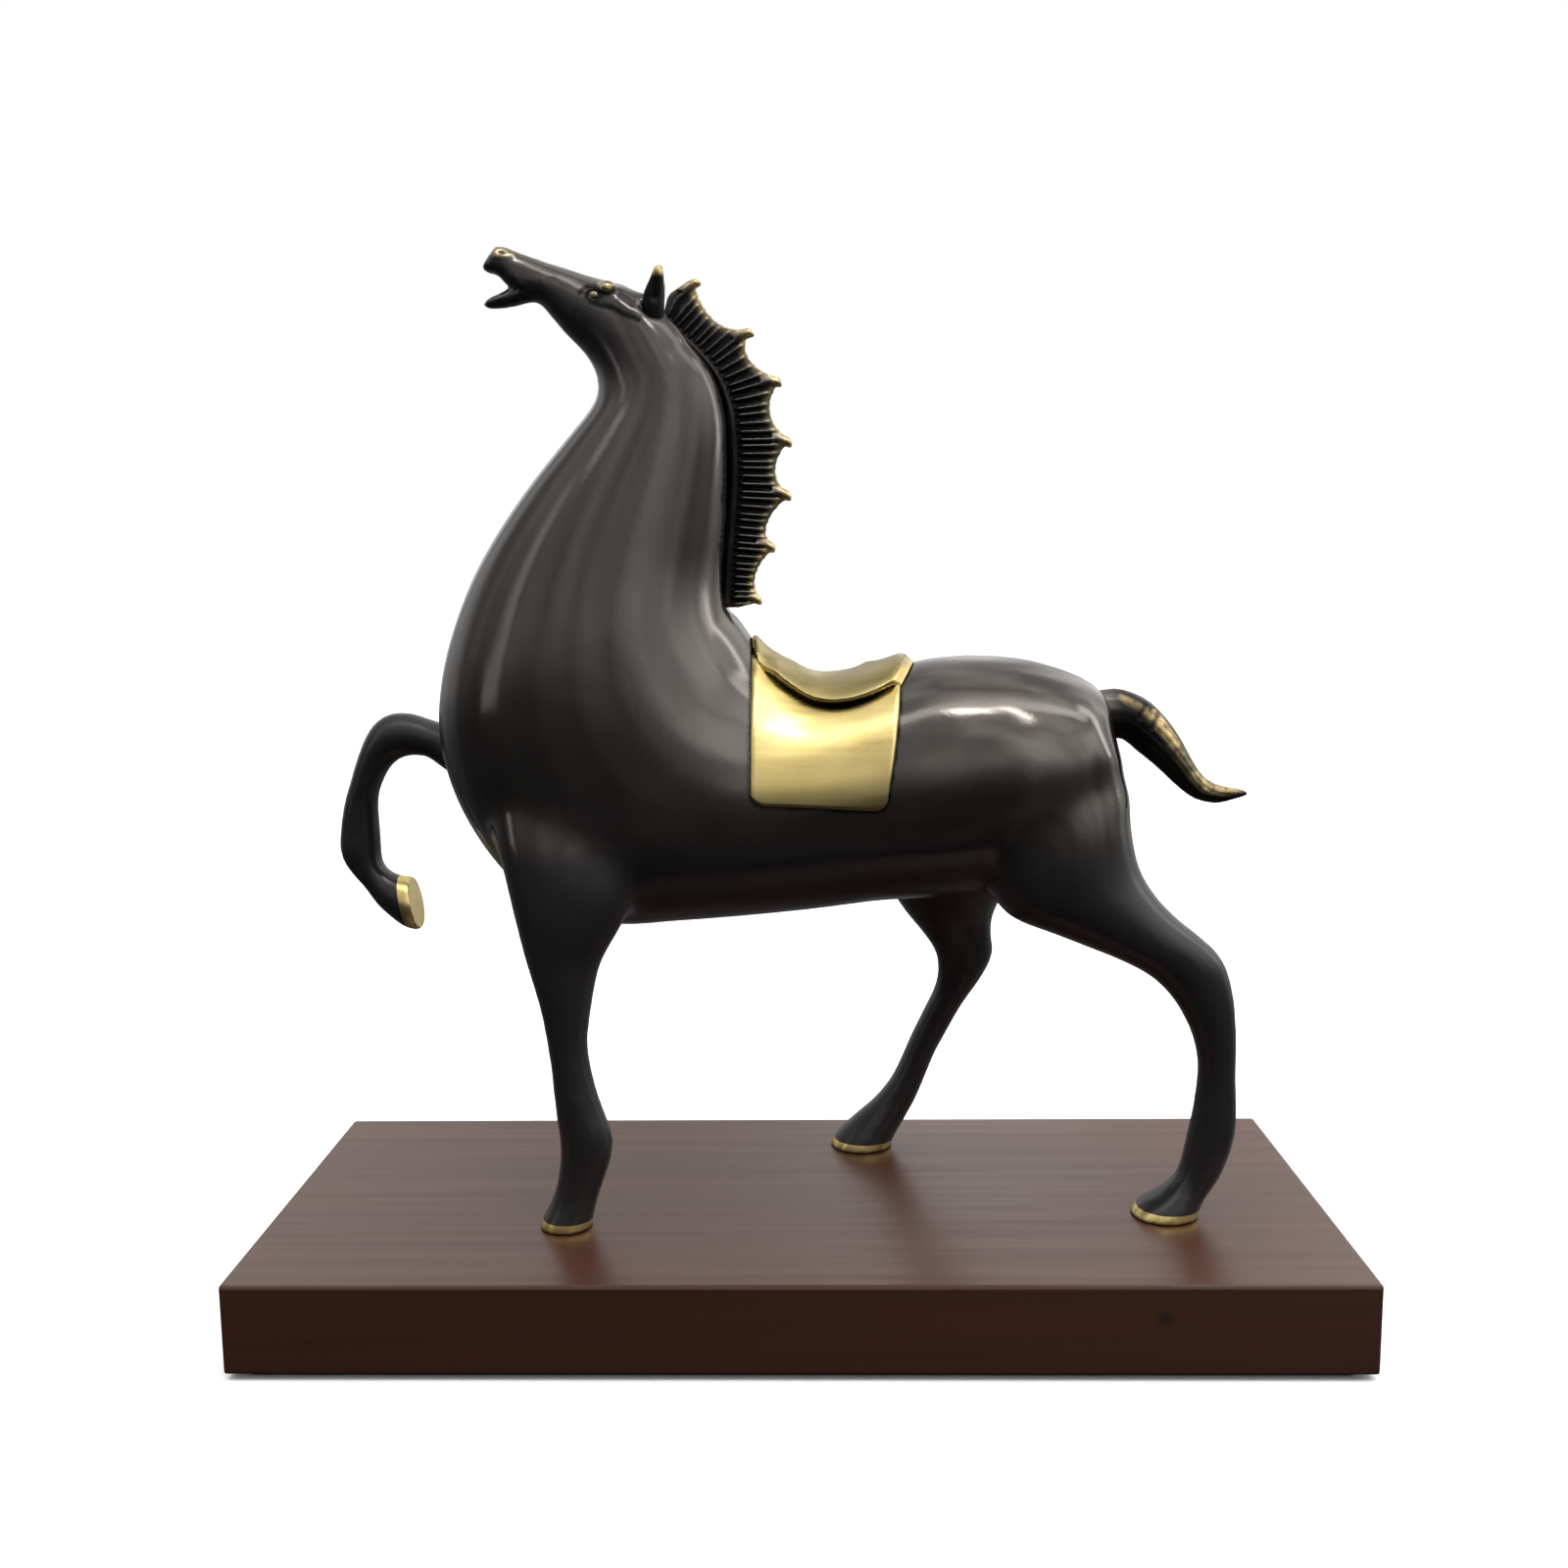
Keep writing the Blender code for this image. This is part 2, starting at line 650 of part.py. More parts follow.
def pin_joint(name, plane, offset, diameter, reach, outer, inner):
    """A dowel across a joint plane, with its holes in both castings."""
    middle = side_point(plane[0], offset)
    axis = side_direction(plane[1])
    for piece in (outer, inner):
        hole = cylinder("hole", middle, axis, diameter / 2 + FIT_GAP, -reach - FIT_GAP, reach + FIT_GAP)
        carve(piece, "DIFFERENCE", hole)
    pin = cylinder(name, middle, axis, diameter / 2, -reach, reach)
    finish(pin, "steel")
    return pin


def make_leg(name, skin, trunk):
    """Cuts one leg and its shoe from the skin and pins the leg to the trunk."""
    point, direction, offset, across = JOINTS[name]
    plane = (point, direction)
    reach = mm(JOINT_REACH)
    half = mm(JOINT_HALF)
    across = tuple(mm(value) for value in across)
    leg = copy_of(skin, name)
    carve(leg, "INTERSECT", slab(plane, SEAT_GAP / 2, reach, half, across))
    carve(trunk, "DIFFERENCE", slab(plane, -SEAT_GAP / 2, reach, half, across))
    sole = RAISED_SOLE
    bottom = 0
    if name in STANDING:
        sole = ((LEGS[name][SOLE_STATION][0], 0), (0, -1))
        bottom = -SEAT_GAP
    hoof = mm(HOOF_REACH)
    shoe = copy_of(leg, name.replace("leg", "") + "_shoe")
    carve(shoe, "INTERSECT", slab(sole, bottom - SHOE_THICKNESS, bottom, hoof))
    carve(leg, "DIFFERENCE", slab(sole, bottom - SHOE_THICKNESS - SEAT_GAP, hoof, hoof))
    pin = pin_joint(name + "_pin", plane, offset, LEG_PIN_DIAMETER, LEG_PIN_REACH, leg, trunk)
    return leg, shoe, pin


def stud_place(rows):
    """Where a stud stands: in the middle of what the sole and the pastern above it share."""
    sole = rows[SOLE_STATION]
    pastern = rows[PASTERN_STATION]
    front = max(sole[0], pastern[0])
    back = min(sole[2], pastern[2])
    return Vector((mm((front + back) / 2), mm(sole[5]), 0))


def fix_hoof(name, leg, shoe, plinth):
    """Stud, washer and nut under one standing hoof, with the holes that they need."""
    place = stud_place(LEGS[name])
    up = Vector((0, 0, 1))
    radius = STUD_DIAMETER / 2
    ceiling = COUNTERBORE_DEPTH - PLINTH_HEIGHT
    washer_top = ceiling - SEAT_GAP
    washer_bottom = washer_top - WASHER_THICKNESS
    nut_top = washer_bottom - SEAT_GAP
    nut_bottom = nut_top - NUT_HEIGHT
    stud_bottom = nut_bottom - STUD_TAIL
    stud_top = SHOE_THICKNESS + 2 * SEAT_GAP + STUD_ENGAGEMENT
    drill = radius + FIT_GAP
    for piece in (leg, shoe):
        hole = cylinder("hole", place, up, drill, -DRILL_OVERRUN, stud_top + FIT_GAP)
        carve(piece, "DIFFERENCE", hole)
    world = place + Vector((0, HORSE_OFFSET, PLINTH_TOP))
    below = -PLINTH_HEIGHT - DRILL_OVERRUN
    carve(plinth, "DIFFERENCE", cylinder("hole", world, up, drill, below, DRILL_OVERRUN))
    bore = cylinder("bore", world, up, COUNTERBORE_DIAMETER / 2, below, ceiling)
    carve(plinth, "DIFFERENCE", bore)
    stud = cylinder(name.replace("leg", "") + "_stud", place, up, radius, stud_bottom, stud_top)
    washer = cylinder(name.replace("leg", "") + "_washer", place, up, WASHER_DIAMETER / 2,
                      washer_bottom, washer_top)
    nut = cylinder(name.replace("leg", "") + "_nut", place, up, NUT_WIDTH / math.sqrt(3),
                   nut_bottom, nut_top, NUT_SIDES)
    for piece in (washer, nut):
        carve(piece, "DIFFERENCE", cylinder("hole", place, up, drill, stud_bottom, 0))
    for piece in (stud, washer, nut):
        finish(piece, "steel")
    return [stud, washer, nut]


def make_neck(skin, trunk):
    """Cuts the neck from the trunk, hollows both and fits a collar inside the joint."""
    neck = copy_of(skin, "neck_casting")
    carve(neck, "INTERSECT", slab(NECK_JOINT, SEAT_GAP / 2))
    carve(neck, "DIFFERENCE", slab(HEAD_JOINT, -SEAT_GAP / 2))
    carve(trunk, "DIFFERENCE", slab(NECK_JOINT, -SEAT_GAP / 2))
    hollow = BODY[CORE_FIRST:CORE_LAST + 1]
    for piece in (neck, trunk):
        carve(piece, "DIFFERENCE", loft_object("core", hollow, -CASTING_WALL))
    collar = loft_object("neck_collar", hollow, -CASTING_WALL - FIT_GAP)
    bore = loft_object("bore", hollow, -CASTING_WALL - FIT_GAP - COLLAR_WALL)
    carve(collar, "INTERSECT", slab(NECK_JOINT, -COLLAR_REACH, COLLAR_REACH))
    carve(collar, "DIFFERENCE", bore)
    finish(collar, "steel")
    return neck, collar


def make_head(neck):
    """Head, its pin and its ears in their sockets."""
    head = head_skin()
    head.name = "head_casting"
    carve(head, "INTERSECT", slab(HEAD_JOINT, SEAT_GAP / 2))
    pin = pin_joint("head_pin", HEAD_JOINT, 0, HEAD_PIN_DIAMETER, HEAD_PIN_REACH, head, neck)
    ears = []
    for name, rows in (("ear_left", mirrored(EAR)), ("ear_right", EAR)):
        carve(head, "DIFFERENCE", loft_object("socket", rows, FIT_GAP))
        ears.append(loft_object(name, rows))
        finish(ears[-1], "black_patina")
    return head, pin, ears


def make_plinth():
    """Wooden block with eased edges."""
    shape = bmesh.new()
    size = Matrix.Diagonal((PLINTH_LENGTH, PLINTH_DEPTH, PLINTH_HEIGHT, 1))
    place = Matrix.Translation((0, 0, PLINTH_BOTTOM + PLINTH_HEIGHT / 2))
    bmesh.ops.create_cube(shape, size=1, matrix=place @ size)
    bmesh.ops.bevel(shape, geom=shape.edges[:], offset=PLINTH_EDGE, segments=PLINTH_EDGE_STEPS,
                    profile=0.5, affect="EDGES")
    return new_object("plinth", shape)


def make_felt():
    """Felt sheet with round corners, set in from the plinth's edge."""
    shape = bmesh.new()
    size = (PLINTH_LENGTH - 2 * FELT_INSET, PLINTH_DEPTH - 2 * FELT_INSET, FELT_THICKNESS, 1)
    place = Matrix.Translation((0, 0, FELT_THICKNESS / 2))
    bmesh.ops.create_cube(shape, size=1, matrix=place @ Matrix.Diagonal(size))
    upright = [edge for edge in shape.edges if abs(edge.verts[0].co.z - edge.verts[1].co.z) > 0]
    bmesh.ops.bevel(shape, geom=upright, offset=FELT_CORNER, segments=CORNER_STEPS, profile=0.5,
                    affect="EDGES")
    felt = new_object("base_felt", shape)
    finish(felt, "felt")
    return felt


def main():
    for obj in list(bpy.data.objects):
        bpy.data.objects.remove(obj)

    plinth = make_plinth()
    make_felt()
    skin = body_skin()
    trunk = copy_of(skin, "trunk_casting")
    pieces = []

    for name in LEGS:
        leg, shoe, pin = make_leg(name, skin, trunk)
        if name in STANDING:
            pieces += fix_hoof(name, leg, shoe, plinth)
        finish(leg, "bronze_patina")
        finish(shoe, "polished_brass")
        pieces += [leg, shoe, pin]
    finish(plinth, "stained_wood")

    neck, collar = make_neck(skin, trunk)
    head, head_pin, ears = make_head(neck)
    for piece in (neck, head):
        carve(piece, "DIFFERENCE", mane("groove", FIT_GAP))
    comb = mane("mane_crest")
    finish(comb, "black_patina")
    carve(trunk, "DIFFERENCE", loft_object("socket", TAIL, FIT_GAP))
    tail = loft_object("tail", TAIL)
    finish(tail, "black_patina")
    pieces += make_saddle(skin, trunk)
    for piece in (trunk, neck, head):
        finish(piece, "bronze_patina")
    pieces += [trunk, neck, collar, head, head_pin, *ears, comb, tail]
    bpy.data.objects.remove(skin)

    root = bpy.data.objects.new("horse_root", None)
    root.location = (0, HORSE_OFFSET, PLINTH_TOP)
    bpy.context.scene.collection.objects.link(root)
    for piece in pieces:
        piece.parent = root


main()
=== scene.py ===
"""Looks of the prancing horse statue: patinated bronze, rubbed brass and a stained wooden plinth.

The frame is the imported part. Smooth castings are drawn over its solids and cut at the same joints.
"""
import math

import bmesh
import bpy
import numpy as np
from mathutils import Matrix, Vector
from mathutils.bvhtree import BVHTree


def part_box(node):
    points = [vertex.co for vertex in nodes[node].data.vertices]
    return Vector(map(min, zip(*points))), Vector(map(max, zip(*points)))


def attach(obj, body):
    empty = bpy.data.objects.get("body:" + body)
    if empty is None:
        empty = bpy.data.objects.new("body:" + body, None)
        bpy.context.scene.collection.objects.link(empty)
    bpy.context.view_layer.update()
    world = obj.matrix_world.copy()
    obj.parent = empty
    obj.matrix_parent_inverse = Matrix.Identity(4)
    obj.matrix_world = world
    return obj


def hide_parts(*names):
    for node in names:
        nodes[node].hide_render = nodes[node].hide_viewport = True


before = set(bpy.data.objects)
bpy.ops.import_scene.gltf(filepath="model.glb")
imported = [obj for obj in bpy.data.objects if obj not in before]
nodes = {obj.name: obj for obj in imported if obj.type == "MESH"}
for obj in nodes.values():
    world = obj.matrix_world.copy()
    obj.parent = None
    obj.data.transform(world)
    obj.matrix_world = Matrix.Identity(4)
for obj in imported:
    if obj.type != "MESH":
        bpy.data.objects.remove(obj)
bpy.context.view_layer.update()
PLINTH_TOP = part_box("plinth")[1].z
MID = sum(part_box("trunk_casting"), Vector()).y / 2
FLAP_LOW, FLAP_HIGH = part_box("saddle_flap")
SEAT_LOW, SEAT_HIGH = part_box("saddle_seat")

MM = 0.001

# Camera, fitted to the plinth's corners in the photograph
IMAGE_SIDE = 1600
FOCAL_PIXELS = 1573.1
SENSOR = 36.0
CAMERA_PLACE = (0.00898, -0.57751, 0.28102)
CAMERA_YAW = -0.02258
CAMERA_PITCH = -0.14409
CAMERA_ROLL = -0.01116

# Castings that share one skin, and what fills the holes in it
CASTINGS = ("trunk_casting", "neck_casting", "head_casting",
            "foreleg_left", "foreleg_right", "hindleg_left", "hindleg_right")
SHOES = {name: name.replace("leg", "") + "_shoe" for name in CASTINGS if "leg" in name}
FILLERS = [name for name in nodes if name.endswith(("_collar", "_pin", "_stud")) or "_peg_" in name]
SKIN_VOXEL = 1.2 * MM
SKIN_STIFFNESS = 400
SKIN_STEPS = 160
DETAIL_STIFFNESS = 90
HEAD_HOLD = 2
MUZZLE_HOLD = 12
MUZZLE_START = (-0.086, -0.098)
# Leg roots in the side view that run smoothly into the trunk, in millimetres, and how far
LEG_ROOTS = ((-85, 138), (97, 137))
ROOT_REACH = 28 * MM
ROOT_HOLD = 0.08
# Small shifts of the withers, rump, legs and chest in the side view: place, radius and shift
SKIN_PULLS = (
    ((-15.5, 219.0), 14.0, (0.8, 3.2)),
    ((121.5, 186.0), 16.0, (-2.8, 0.0)),
    ((117.0, 198.0), 10.0, (-1.3, -0.2)),
    ((123.5, 162.0), 14.0, (1.1, 0.0)),
    ((-100.0, 108.0), 30.0, (-1.2, 0.0)),
    ((157.0, 75.0), 30.0, (0.8, 0.0)),
    ((48.0, 75.0), 30.0, (0.8, 0.0)),
    ((-105.0, 205.0), 60.0, (0.7, 0.0)),
    ((-142.0, 169.0), 9.0, (0.0, -1.6)),
)
SOLE_RUN = 3 * MM
RAISED_SOLE = 1.4 * MM
SOLE_SHADE = (1.4 * MM, 0.6 * MM)
CONTACT = 0.6 * MM
CUT_DEPTH = 4 * MM
# Reach of a cut past the joint's own, and how closely an island of skin matches its CAD node
JOINT_CUT = 1.35
SOLE_CUT = 1.6
MATCH_SAMPLES = 60
MATCH_LIMIT = 4 * CONTACT
WELD = 1e-6
TINY = 1e-9

# Head features in the side view, in millimetres from the plinth's middle and top
NOSTRIL = (-104.7, 357.3)
NOSTRIL_HALF = (4.6, 1.9)
EYE = (-70.6, 341.6)
EYE_HALF = (2.0, 1.6)
BROW = (-65.8, 344.3)
BROW_HALF = (3.4, 2.6)
EYE_PROFILE = ((0.0, 0.60), (0.35, 0.55), (0.65, 0.40), (0.88, 0.15), (1.0, -0.2), (0.0, -0.6))
EYE_SIDES = 24
EYE_DOME = 1.4 * MM
EYE_LINE = Vector((-1, 0, 0.25))
# Brass share on the eyeball, a painted glint
EYE_GLINT = 0.3
RAY_START = 0.05
# Relief of the head, and where its parts begin and end on their ovals or strokes
HEAD_FLANK = (1.0 * MM, 3.2 * MM)
STROKE_EDGE = (0.15, 0.85)
NOSTRIL_HOLE = (0.42, 0.08)
NOSTRIL_RIM = (1.3, 0.6)
NOSTRIL_RUB = (1.1, 0.7)
NOSTRIL_RISE = 0.35 * MM
NOSTRIL_DEPTH = 0.7 * MM
HOLE_DARK = 0.6
SOCKET_SIZE = 1.3
SOCKET_DEPTH = 0.8 * MM
SOCKET_EDGE = (2.1, 1.4)
SOCKET_DARK = 0.95
BROW_RISE = 1.35 * MM
BROW_ROUND = 0.8
BROW_RUB = (1.0, 0.5)
BROW_FOOT = (0.8, 1.1)
# Ring of shade round the brow: its place and width on the brow's oval, and its darkness
BROW_RING = (1.15, 0.2, 0.7)
HEAD_RUB = 0.8
# Heights between which the brow's shaded lower side begins, in metres
BROW_SHADE = (PLINTH_TOP + 0.345, PLINTH_TOP + 0.343)
# Heights between which the neck's plain skin gives way to the worked head
HEAD_WORK = (326, 333)
HEAD_SOFTEN = 7
# Each groove or ridge: points, radius, depth and darkness
HEAD_STROKES = (
    (((-71.6, 338.9), (-68.1, 337.6), (-63.4, 336.7), (-60.1, 334.4), (-54.3, 332.1)), 1.9, -0.12, 0.95),
    (((-62.5, 342.8), (-60.4, 341.7), (-56.5, 338.3)), 2.4, -0.3, 0.6),
    (((-60.6, 338.6), (-54.6, 335.4)), 3.4, 0.3, 0),
    (((-75.6, 342.6), (-73.2, 344.7), (-70.4, 344.6)), 1.9, 0, 0.85),
    (((-101.6, 344.8), (-97.5, 344.2)), 1.8, -0.5, 0.5),
)
# Small shifts of the muzzle, mouth and brow line: place, radius and shift
HEAD_PULLS = (
    ((-111.0, 358.4), 5.0, (1.7, 0.0)),
    ((-109.0, 348.6), 4.5, (0.0, 1.3)),
    ((-111.2, 353.0), 3.0, (-0.5, 0.0)),
    ((-106.0, 359.0), 7.0, (0.0, 0.6)),
    ((-94.0, 341.5), 9.0, (0.0, 0.9)),
    ((-102.0, 345.5), 4.5, (2.0, 0.0)),
    ((-112.5, 351.5), 3.0, (-0.5, 0.6)),
    ((-56.5, 343.5), 6.0, (0.0, -0.9)),
)

# Mane, ears and tail
MANE_TIPS = ((-33.3, 347.9), (-13.6, 329.4), (-3.4, 311.0), (0.2, 288.8), (-0.2, 269.1),
             (-6.5, 250.0), (-11.7, 230.6))
FOOT_WIDE = 0.8
FOOT_POINTS = 161
FOOT_BLUR = 13
MANE_RIBS = 43
MANE_VOXEL = 0.4 * MM
# Rail of the mane at its upper and its lower end: height, half width across the neck
RAIL_HIGH = (2.4 * MM, 5.6 * MM)
RAIL_ACROSS = (4.4 * MM, 5.5 * MM)
RAIL_GROWS = (0.12, 0.5)
RAIL_STEP = 3
RIB_MARGIN = 2
RIB_ROOT = 0.96
RIB_ROUND = 8
RIB_BLUNT = 0.1
RIB_RELIEF = (-0.4 * MM, 0.1 * MM)
RIB_HALF = 0.8 * MM
RIB_PROUD = 0.3 * MM
RIB_EDGE = 2.2 * MM
RIB_STATIONS = 7
RIB_BLUR = 30
CORE_NARROW = 0.42
HOLLOW_CUT = 0.7 * MM
HOLLOW_START = 4 * MM
HOOK_LENGTH = 7 * MM
HOOK_DROOP = 2.2 * MM
HOOK_ROOT = 2.4 * MM
HOOK_TIP = 2.0 * MM
HOOK_WIDE = 1.15
HOOK_TAPER = 0.7
HOOK_ROUND = 0.84
HOOK_BLUNT = 0.05
HOOK_STATIONS = (0, 0.25, 0.5, HOOK_TAPER, HOOK_ROUND, 0.92, 0.97, 1.0)
# Wear of the mane and painted shade in its gaps: distances from its points and its edge over which the
# gaps darken and brass shows
GAP_SHADE = 0.9
GAP_TIP = (2.4 * MM, 4 * MM)
EDGE_WEAR = (4.0 * MM, 0.4 * MM)
TIP_WEAR = (4.4 * MM, 2.2 * MM)
TIP_GLOW = 6.5 * MM
EDGE_GLOW = (0.25, 1)
RIB_GLOW = (0.35, 1)
RIB_TONE = (0.45, 0.95)
MANE_PULLS = (((-42.5, 341.0), 6.0, (-0.8, 0.9)),)
TUBE_SIDES = 10
EAR_VOXEL = 0.35 * MM
EAR_SHIFT = 1.1 * MM
FAR_EAR_SHIFT = -0.4 * MM
EAR_DROP = 1.2 * MM
EAR_TIP = (0.80, 0.92)
CUP_OFFSET = 0.6 * MM
CUP_HALF = 1.5 * MM
CUP_DEPTH = 1.0 * MM
CUP_FOOT = (0.35, 0.5)
CUP_TOP = (0.96, 0.75)
CUP_EDGE = 2 * MM
TAIL_VOXEL = 0.45 * MM
TAIL_STRANDS = 13
TAIL_BINS = 60
STRAND_DEPTH = 0.22 * MM
STRAND_LEVEL = 0.7
STRAND_START = (0.22, 0.42)
STRAND_END = (1.0, 0.9)
# Twist of the strands along the tail, and the height and turns of their sway
STRAND_TWIST = 8
STRAND_SWAY = (0.9, 7)
STRAND_GAP = (0.3, 0.05)
STRAND_DARK = 0.5
# Fine hairs in the rubbed locks: their rate against the strands, and the height and turns of their sway
HAIR_RATE = 1.5
HAIR_SWAY = (3, 19)
HAIR_WEAR = (0.5, 1)
LOCK_UP = (-0.75, -0.1)
LOCK_RISE = 0.3 * MM
NOTCH_RADIUS = 1.4
NOTCH_DEPTH = 0.5 * MM
NOTCH_DARK = 0.8
TAIL_FLANK = (0.8 * MM, 3 * MM)
TAIL_ROOT = (0.24, 0.12)
ROOT_UP = (-0.2, 0.4)
# Rubbed locks on the tail's upper side, each with its radius and wear, and the notches between them
TAIL_LOCKS = (
    (((123.0, 193.5), (125.6, 192.2), (129.4, 190.0)), 1.9, 0.4),
    (((130.6, 189.6), (133.3, 186.6)), 2.0, 0.55),
    (((135.8, 186.2), (139.0, 181.8), (143.0, 175.6)), 3.3, 0.85),
    (((143.0, 175.6), (146.9, 170.2), (151.5, 163.2)), 3.4, 0.32),
    (((151.5, 163.2), (155.9, 158.8), (162.5, 158.0), (169.5, 158.9)), 3.0, 0.75),
)
TAIL_NOTCHES = (((131.8, 190.6), (129.6, 186.2)), ((137.0, 187.2), (134.4, 182.2)))

# Saddle
FLAP_RISE = 1.9 * MM
FLAP_EDGE = 1.6 * MM
FLAP_CORNER = 5.2 * MM
FLAP_DRAW = 6.2 * MM
FLAP_HEM = 3.5 * MM
FLAP_TILT = 2.6 * MM
FLAP_TARNISH = 0.55
FLAP_TARNISH_HIGH = 13 * MM
SEAT_RISE = 4.8 * MM
SEAT_FRONT_EDGE = 1.4 * MM
SEAT_REAR_EDGE = 4.4 * MM
SEAT_FRONT_REACH = 0.6 * MM
SEAT_FRONT_SLANT = 1.8 * MM
SEAT_REAR_REACH = 2.7 * MM
SEAT_REAR_ROUND = 4.6 * MM
SEAT_REAR_CURL = 1.2 * MM
SEAT_FRONT_RISE = 2.4 * MM
SEAT_FRONT_SHARE = 0.12
LIP_MIDDLE = 14.4 * MM
LIP_HALF = 28 * MM
LIP_LIFT = 0.75 * MM
LIP_FRONT_CURVE = 19.0
LIP_REAR_CURVE = 14.0
LIP_BAND = 2.6 * MM
LIP_GAP = 1.5 * MM
LIP_REACH = 7 * MM
LIP_EDGE = 1.3 * MM
LIP_ROLL = 0.7
LIP_SHADE = (0.5 * MM, -0.7 * MM)
RIM_BAND = (4 * MM, 1.5 * MM)
RIM_THICKNESS = 0.3 * MM
END_HEIGHT = 0.3
SEAT_THICKNESS = 1.6 * MM
SEAT_DULL = 0.5
SEAT_DULL_START = (0.5 * MM, 5 * MM)
SHEET_SINK = 1.2 * MM
SHEET_COLUMNS = 64
SHEET_ROWS = 180

# Felt under the plinth: rounding of its cut edge, and the turn between faces that marks that edge
FELT_EDGE = 0.6 * MM
FELT_EDGE_STEPS = 3
FELT_EDGE_TURN = math.radians(60)
FLAT_TURN = math.radians(1)

# Darkening of the bronze: heights and places where the darker lower body, raised leg and face begin, in
# metres
DARK_LOW, DARK_HIGH = 0.166, 0.197
DARK_CHEST = (-0.02, -0.07)
DARK_NECK = (0.262, 0.29)
CHEST_NECK_DARK_SHARE = 0.6
DARK_LEG = (-0.113, -0.124)
DARK_LEG_TOP = (0.240, 0.228)
DARK_FACE = (-0.049, -0.067)
DARK_FACE_FOOT = (0.325, 0.345)
FACE_SHARE = 0.8
# Painted shade beside the pieces set on the castings: its reach, and the shares over which it sets in
CREVICE_SHADE_REACH = 1.1 * MM
CREVICE_SHADE_EDGE = (0.1, 0.75)
# Painted sheen on the nose's top: its strength, and the places, heights and upward facing over which it
# sets in
NOSE_SHEEN = 0.85
NOSE_START = (-0.056, -0.066)
NOSE_FOOT = (0.362, 0.370)
NOSE_UP = (0.1, 0.5)

# Colours
BRONZE_TONES = ((0.104, 0.098, 0.089, 1), (0.138, 0.128, 0.116, 1))
BRONZE_STREAK = (0.078, 0.063, 0.054, 1)
BRONZE_DARK_TONE = (0.035, 0.033, 0.0335, 1)
BRONZE_RECESS = (0.005, 0.005, 0.005, 1)
BRONZE_GOLD = (0.55, 0.42, 0.22, 1)
BLACK_TONES = ((0.010, 0.0098, 0.0098, 1), (0.034, 0.031, 0.029, 1))
BLACK_BRONZE = (0.118, 0.110, 0.101, 1)
BLACK_RECESS = (0.004, 0.004, 0.004, 1)
BLACK_GOLD = (0.66, 0.50, 0.24, 1)
BRASS_TONES = ((0.60, 0.45, 0.15, 1), (0.76, 0.60, 0.25, 1))
BRASS_BRUSHED = (0.86, 0.73, 0.34, 1)
BRASS_RECESS = (0.02, 0.015, 0.01, 1)
WOOD_TONES = ((0.039, 0.0118, 0.005, 1), (0.056, 0.0178, 0.0074, 1))
WOOD_GRAIN = (0.024, 0.007, 0.003, 1)
KNOT_TONE = (0.012, 0.006, 0.004, 1)
FELT_TONES = ((0.008, 0.010, 0.008, 1), (0.035, 0.040, 0.034, 1))
STEEL_TONES = ((0.42, 0.42, 0.43, 1), (0.60, 0.60, 0.61, 1))
FLOOR_TONE = (0.88, 0.88, 0.88, 1)
WHITE = (1, 1, 1, 1)

# Wood knot, lamps and surroundings
KNOT_PLACE = (0.126, -0.080, 0.0232)
KNOT_EDGE = (0.0034, 0.0010)
FLOOR_HALF = 12
LAMP_TARGET = Vector((0, 0, 0.22))
# Each lamp: name, kind, place, size in metres or radians, and power
LAMPS = (
    ("sky", "SUN", (0.2, 0.5, 3.0), 1.6, 2.6),
    ("ceiling", "AREA", (0.1, -0.36, 1.5), (2.6, 0.30), 5.0),
    ("window", "AREA", (0.10, -0.54, 1.5), (0.26, 0.22), 2.2),
    ("far_window", "AREA", (0.40, -0.54, 1.5), (0.10, 0.42), 1.8),
    ("left_strip", "AREA", (-1.35, -0.55, 0.75), (0.2, 1.2), 1.0),
    ("crest_strip", "AREA", (1.3, 0.25, 0.95), (0.22, 1.2), 3.0),
)
# Light of the surroundings from straight down, 0, to straight up, 1, before and behind the statue
FRONT_LIGHT = ((0.0, 0.04), (0.41, 0.06), (0.5, 0.11), (0.56, 0.30), (0.61, 0.55), (0.67, 0.80),
               (0.79, 1.1), (0.93, 1.05), (1.0, 0.95))
BACK_LIGHT = ((0.0, 0.05), (0.41, 0.2), (0.5, 0.7), (0.6, 1.0), (0.75, 1.05), (0.88, 0.95), (1.0, 0.95))
# Depths between which the front light gives way to the back light
WORLD_DEPTH = (-0.1, 0.35)
# Upright streaks: their scale, the noise that they span and the light that they give
WORLD_STREAKS = 3.2
STREAK_NOISE = (0.36, 0.64)
STREAK_LIGHT = (0.55, 1.4)
# Share of the surroundings' light from the left and from the right
WORLD_SIDES = (0.5, 1.5)


def side_place(point):
    """A side-view point in millimetres over the plinth, in the frame's metres."""
    return np.array((point[0] * MM, point[1] * MM + PLINTH_TOP))


def side_distance(side, point):
    return np.hypot(*(side - side_place(point)).T)


def oval_distance(side, middle, half):
    """Distance from an oval's middle in the side view, 1 on the oval."""
    return np.hypot(*((side - side_place(middle)) / (np.array(half) * MM)).T)


def stroke_distance(side, line, radius):
    """Distance from a line through side-view points, 1 at its radius."""
    line = [side_place(point) for point in line]
    best = np.full(len(side), np.inf)
    for start, end in zip(line, line[1:]):
        way = end - start
        t = np.clip(((side - start) @ way) / (way @ way), 0, 1)
        best = np.minimum(best, np.hypot(*(side - start - t[:, None] * way).T))
    return best / (radius * MM)


def bell(away):
    """1 in the middle, falling to 0 at a distance of 1."""
    return np.clip(1 - away * away, 0, 1)


def blend(ends, share):
    """Value between two ends."""
    return ends[0] + (ends[1] - ends[0]) * share


# Meshes

def object_from(name, data):
    """An object in the scene from a mesh, lamp or camera."""
    obj = bpy.data.objects.new(name, data)
    bpy.context.scene.collection.objects.link(obj)
    return obj


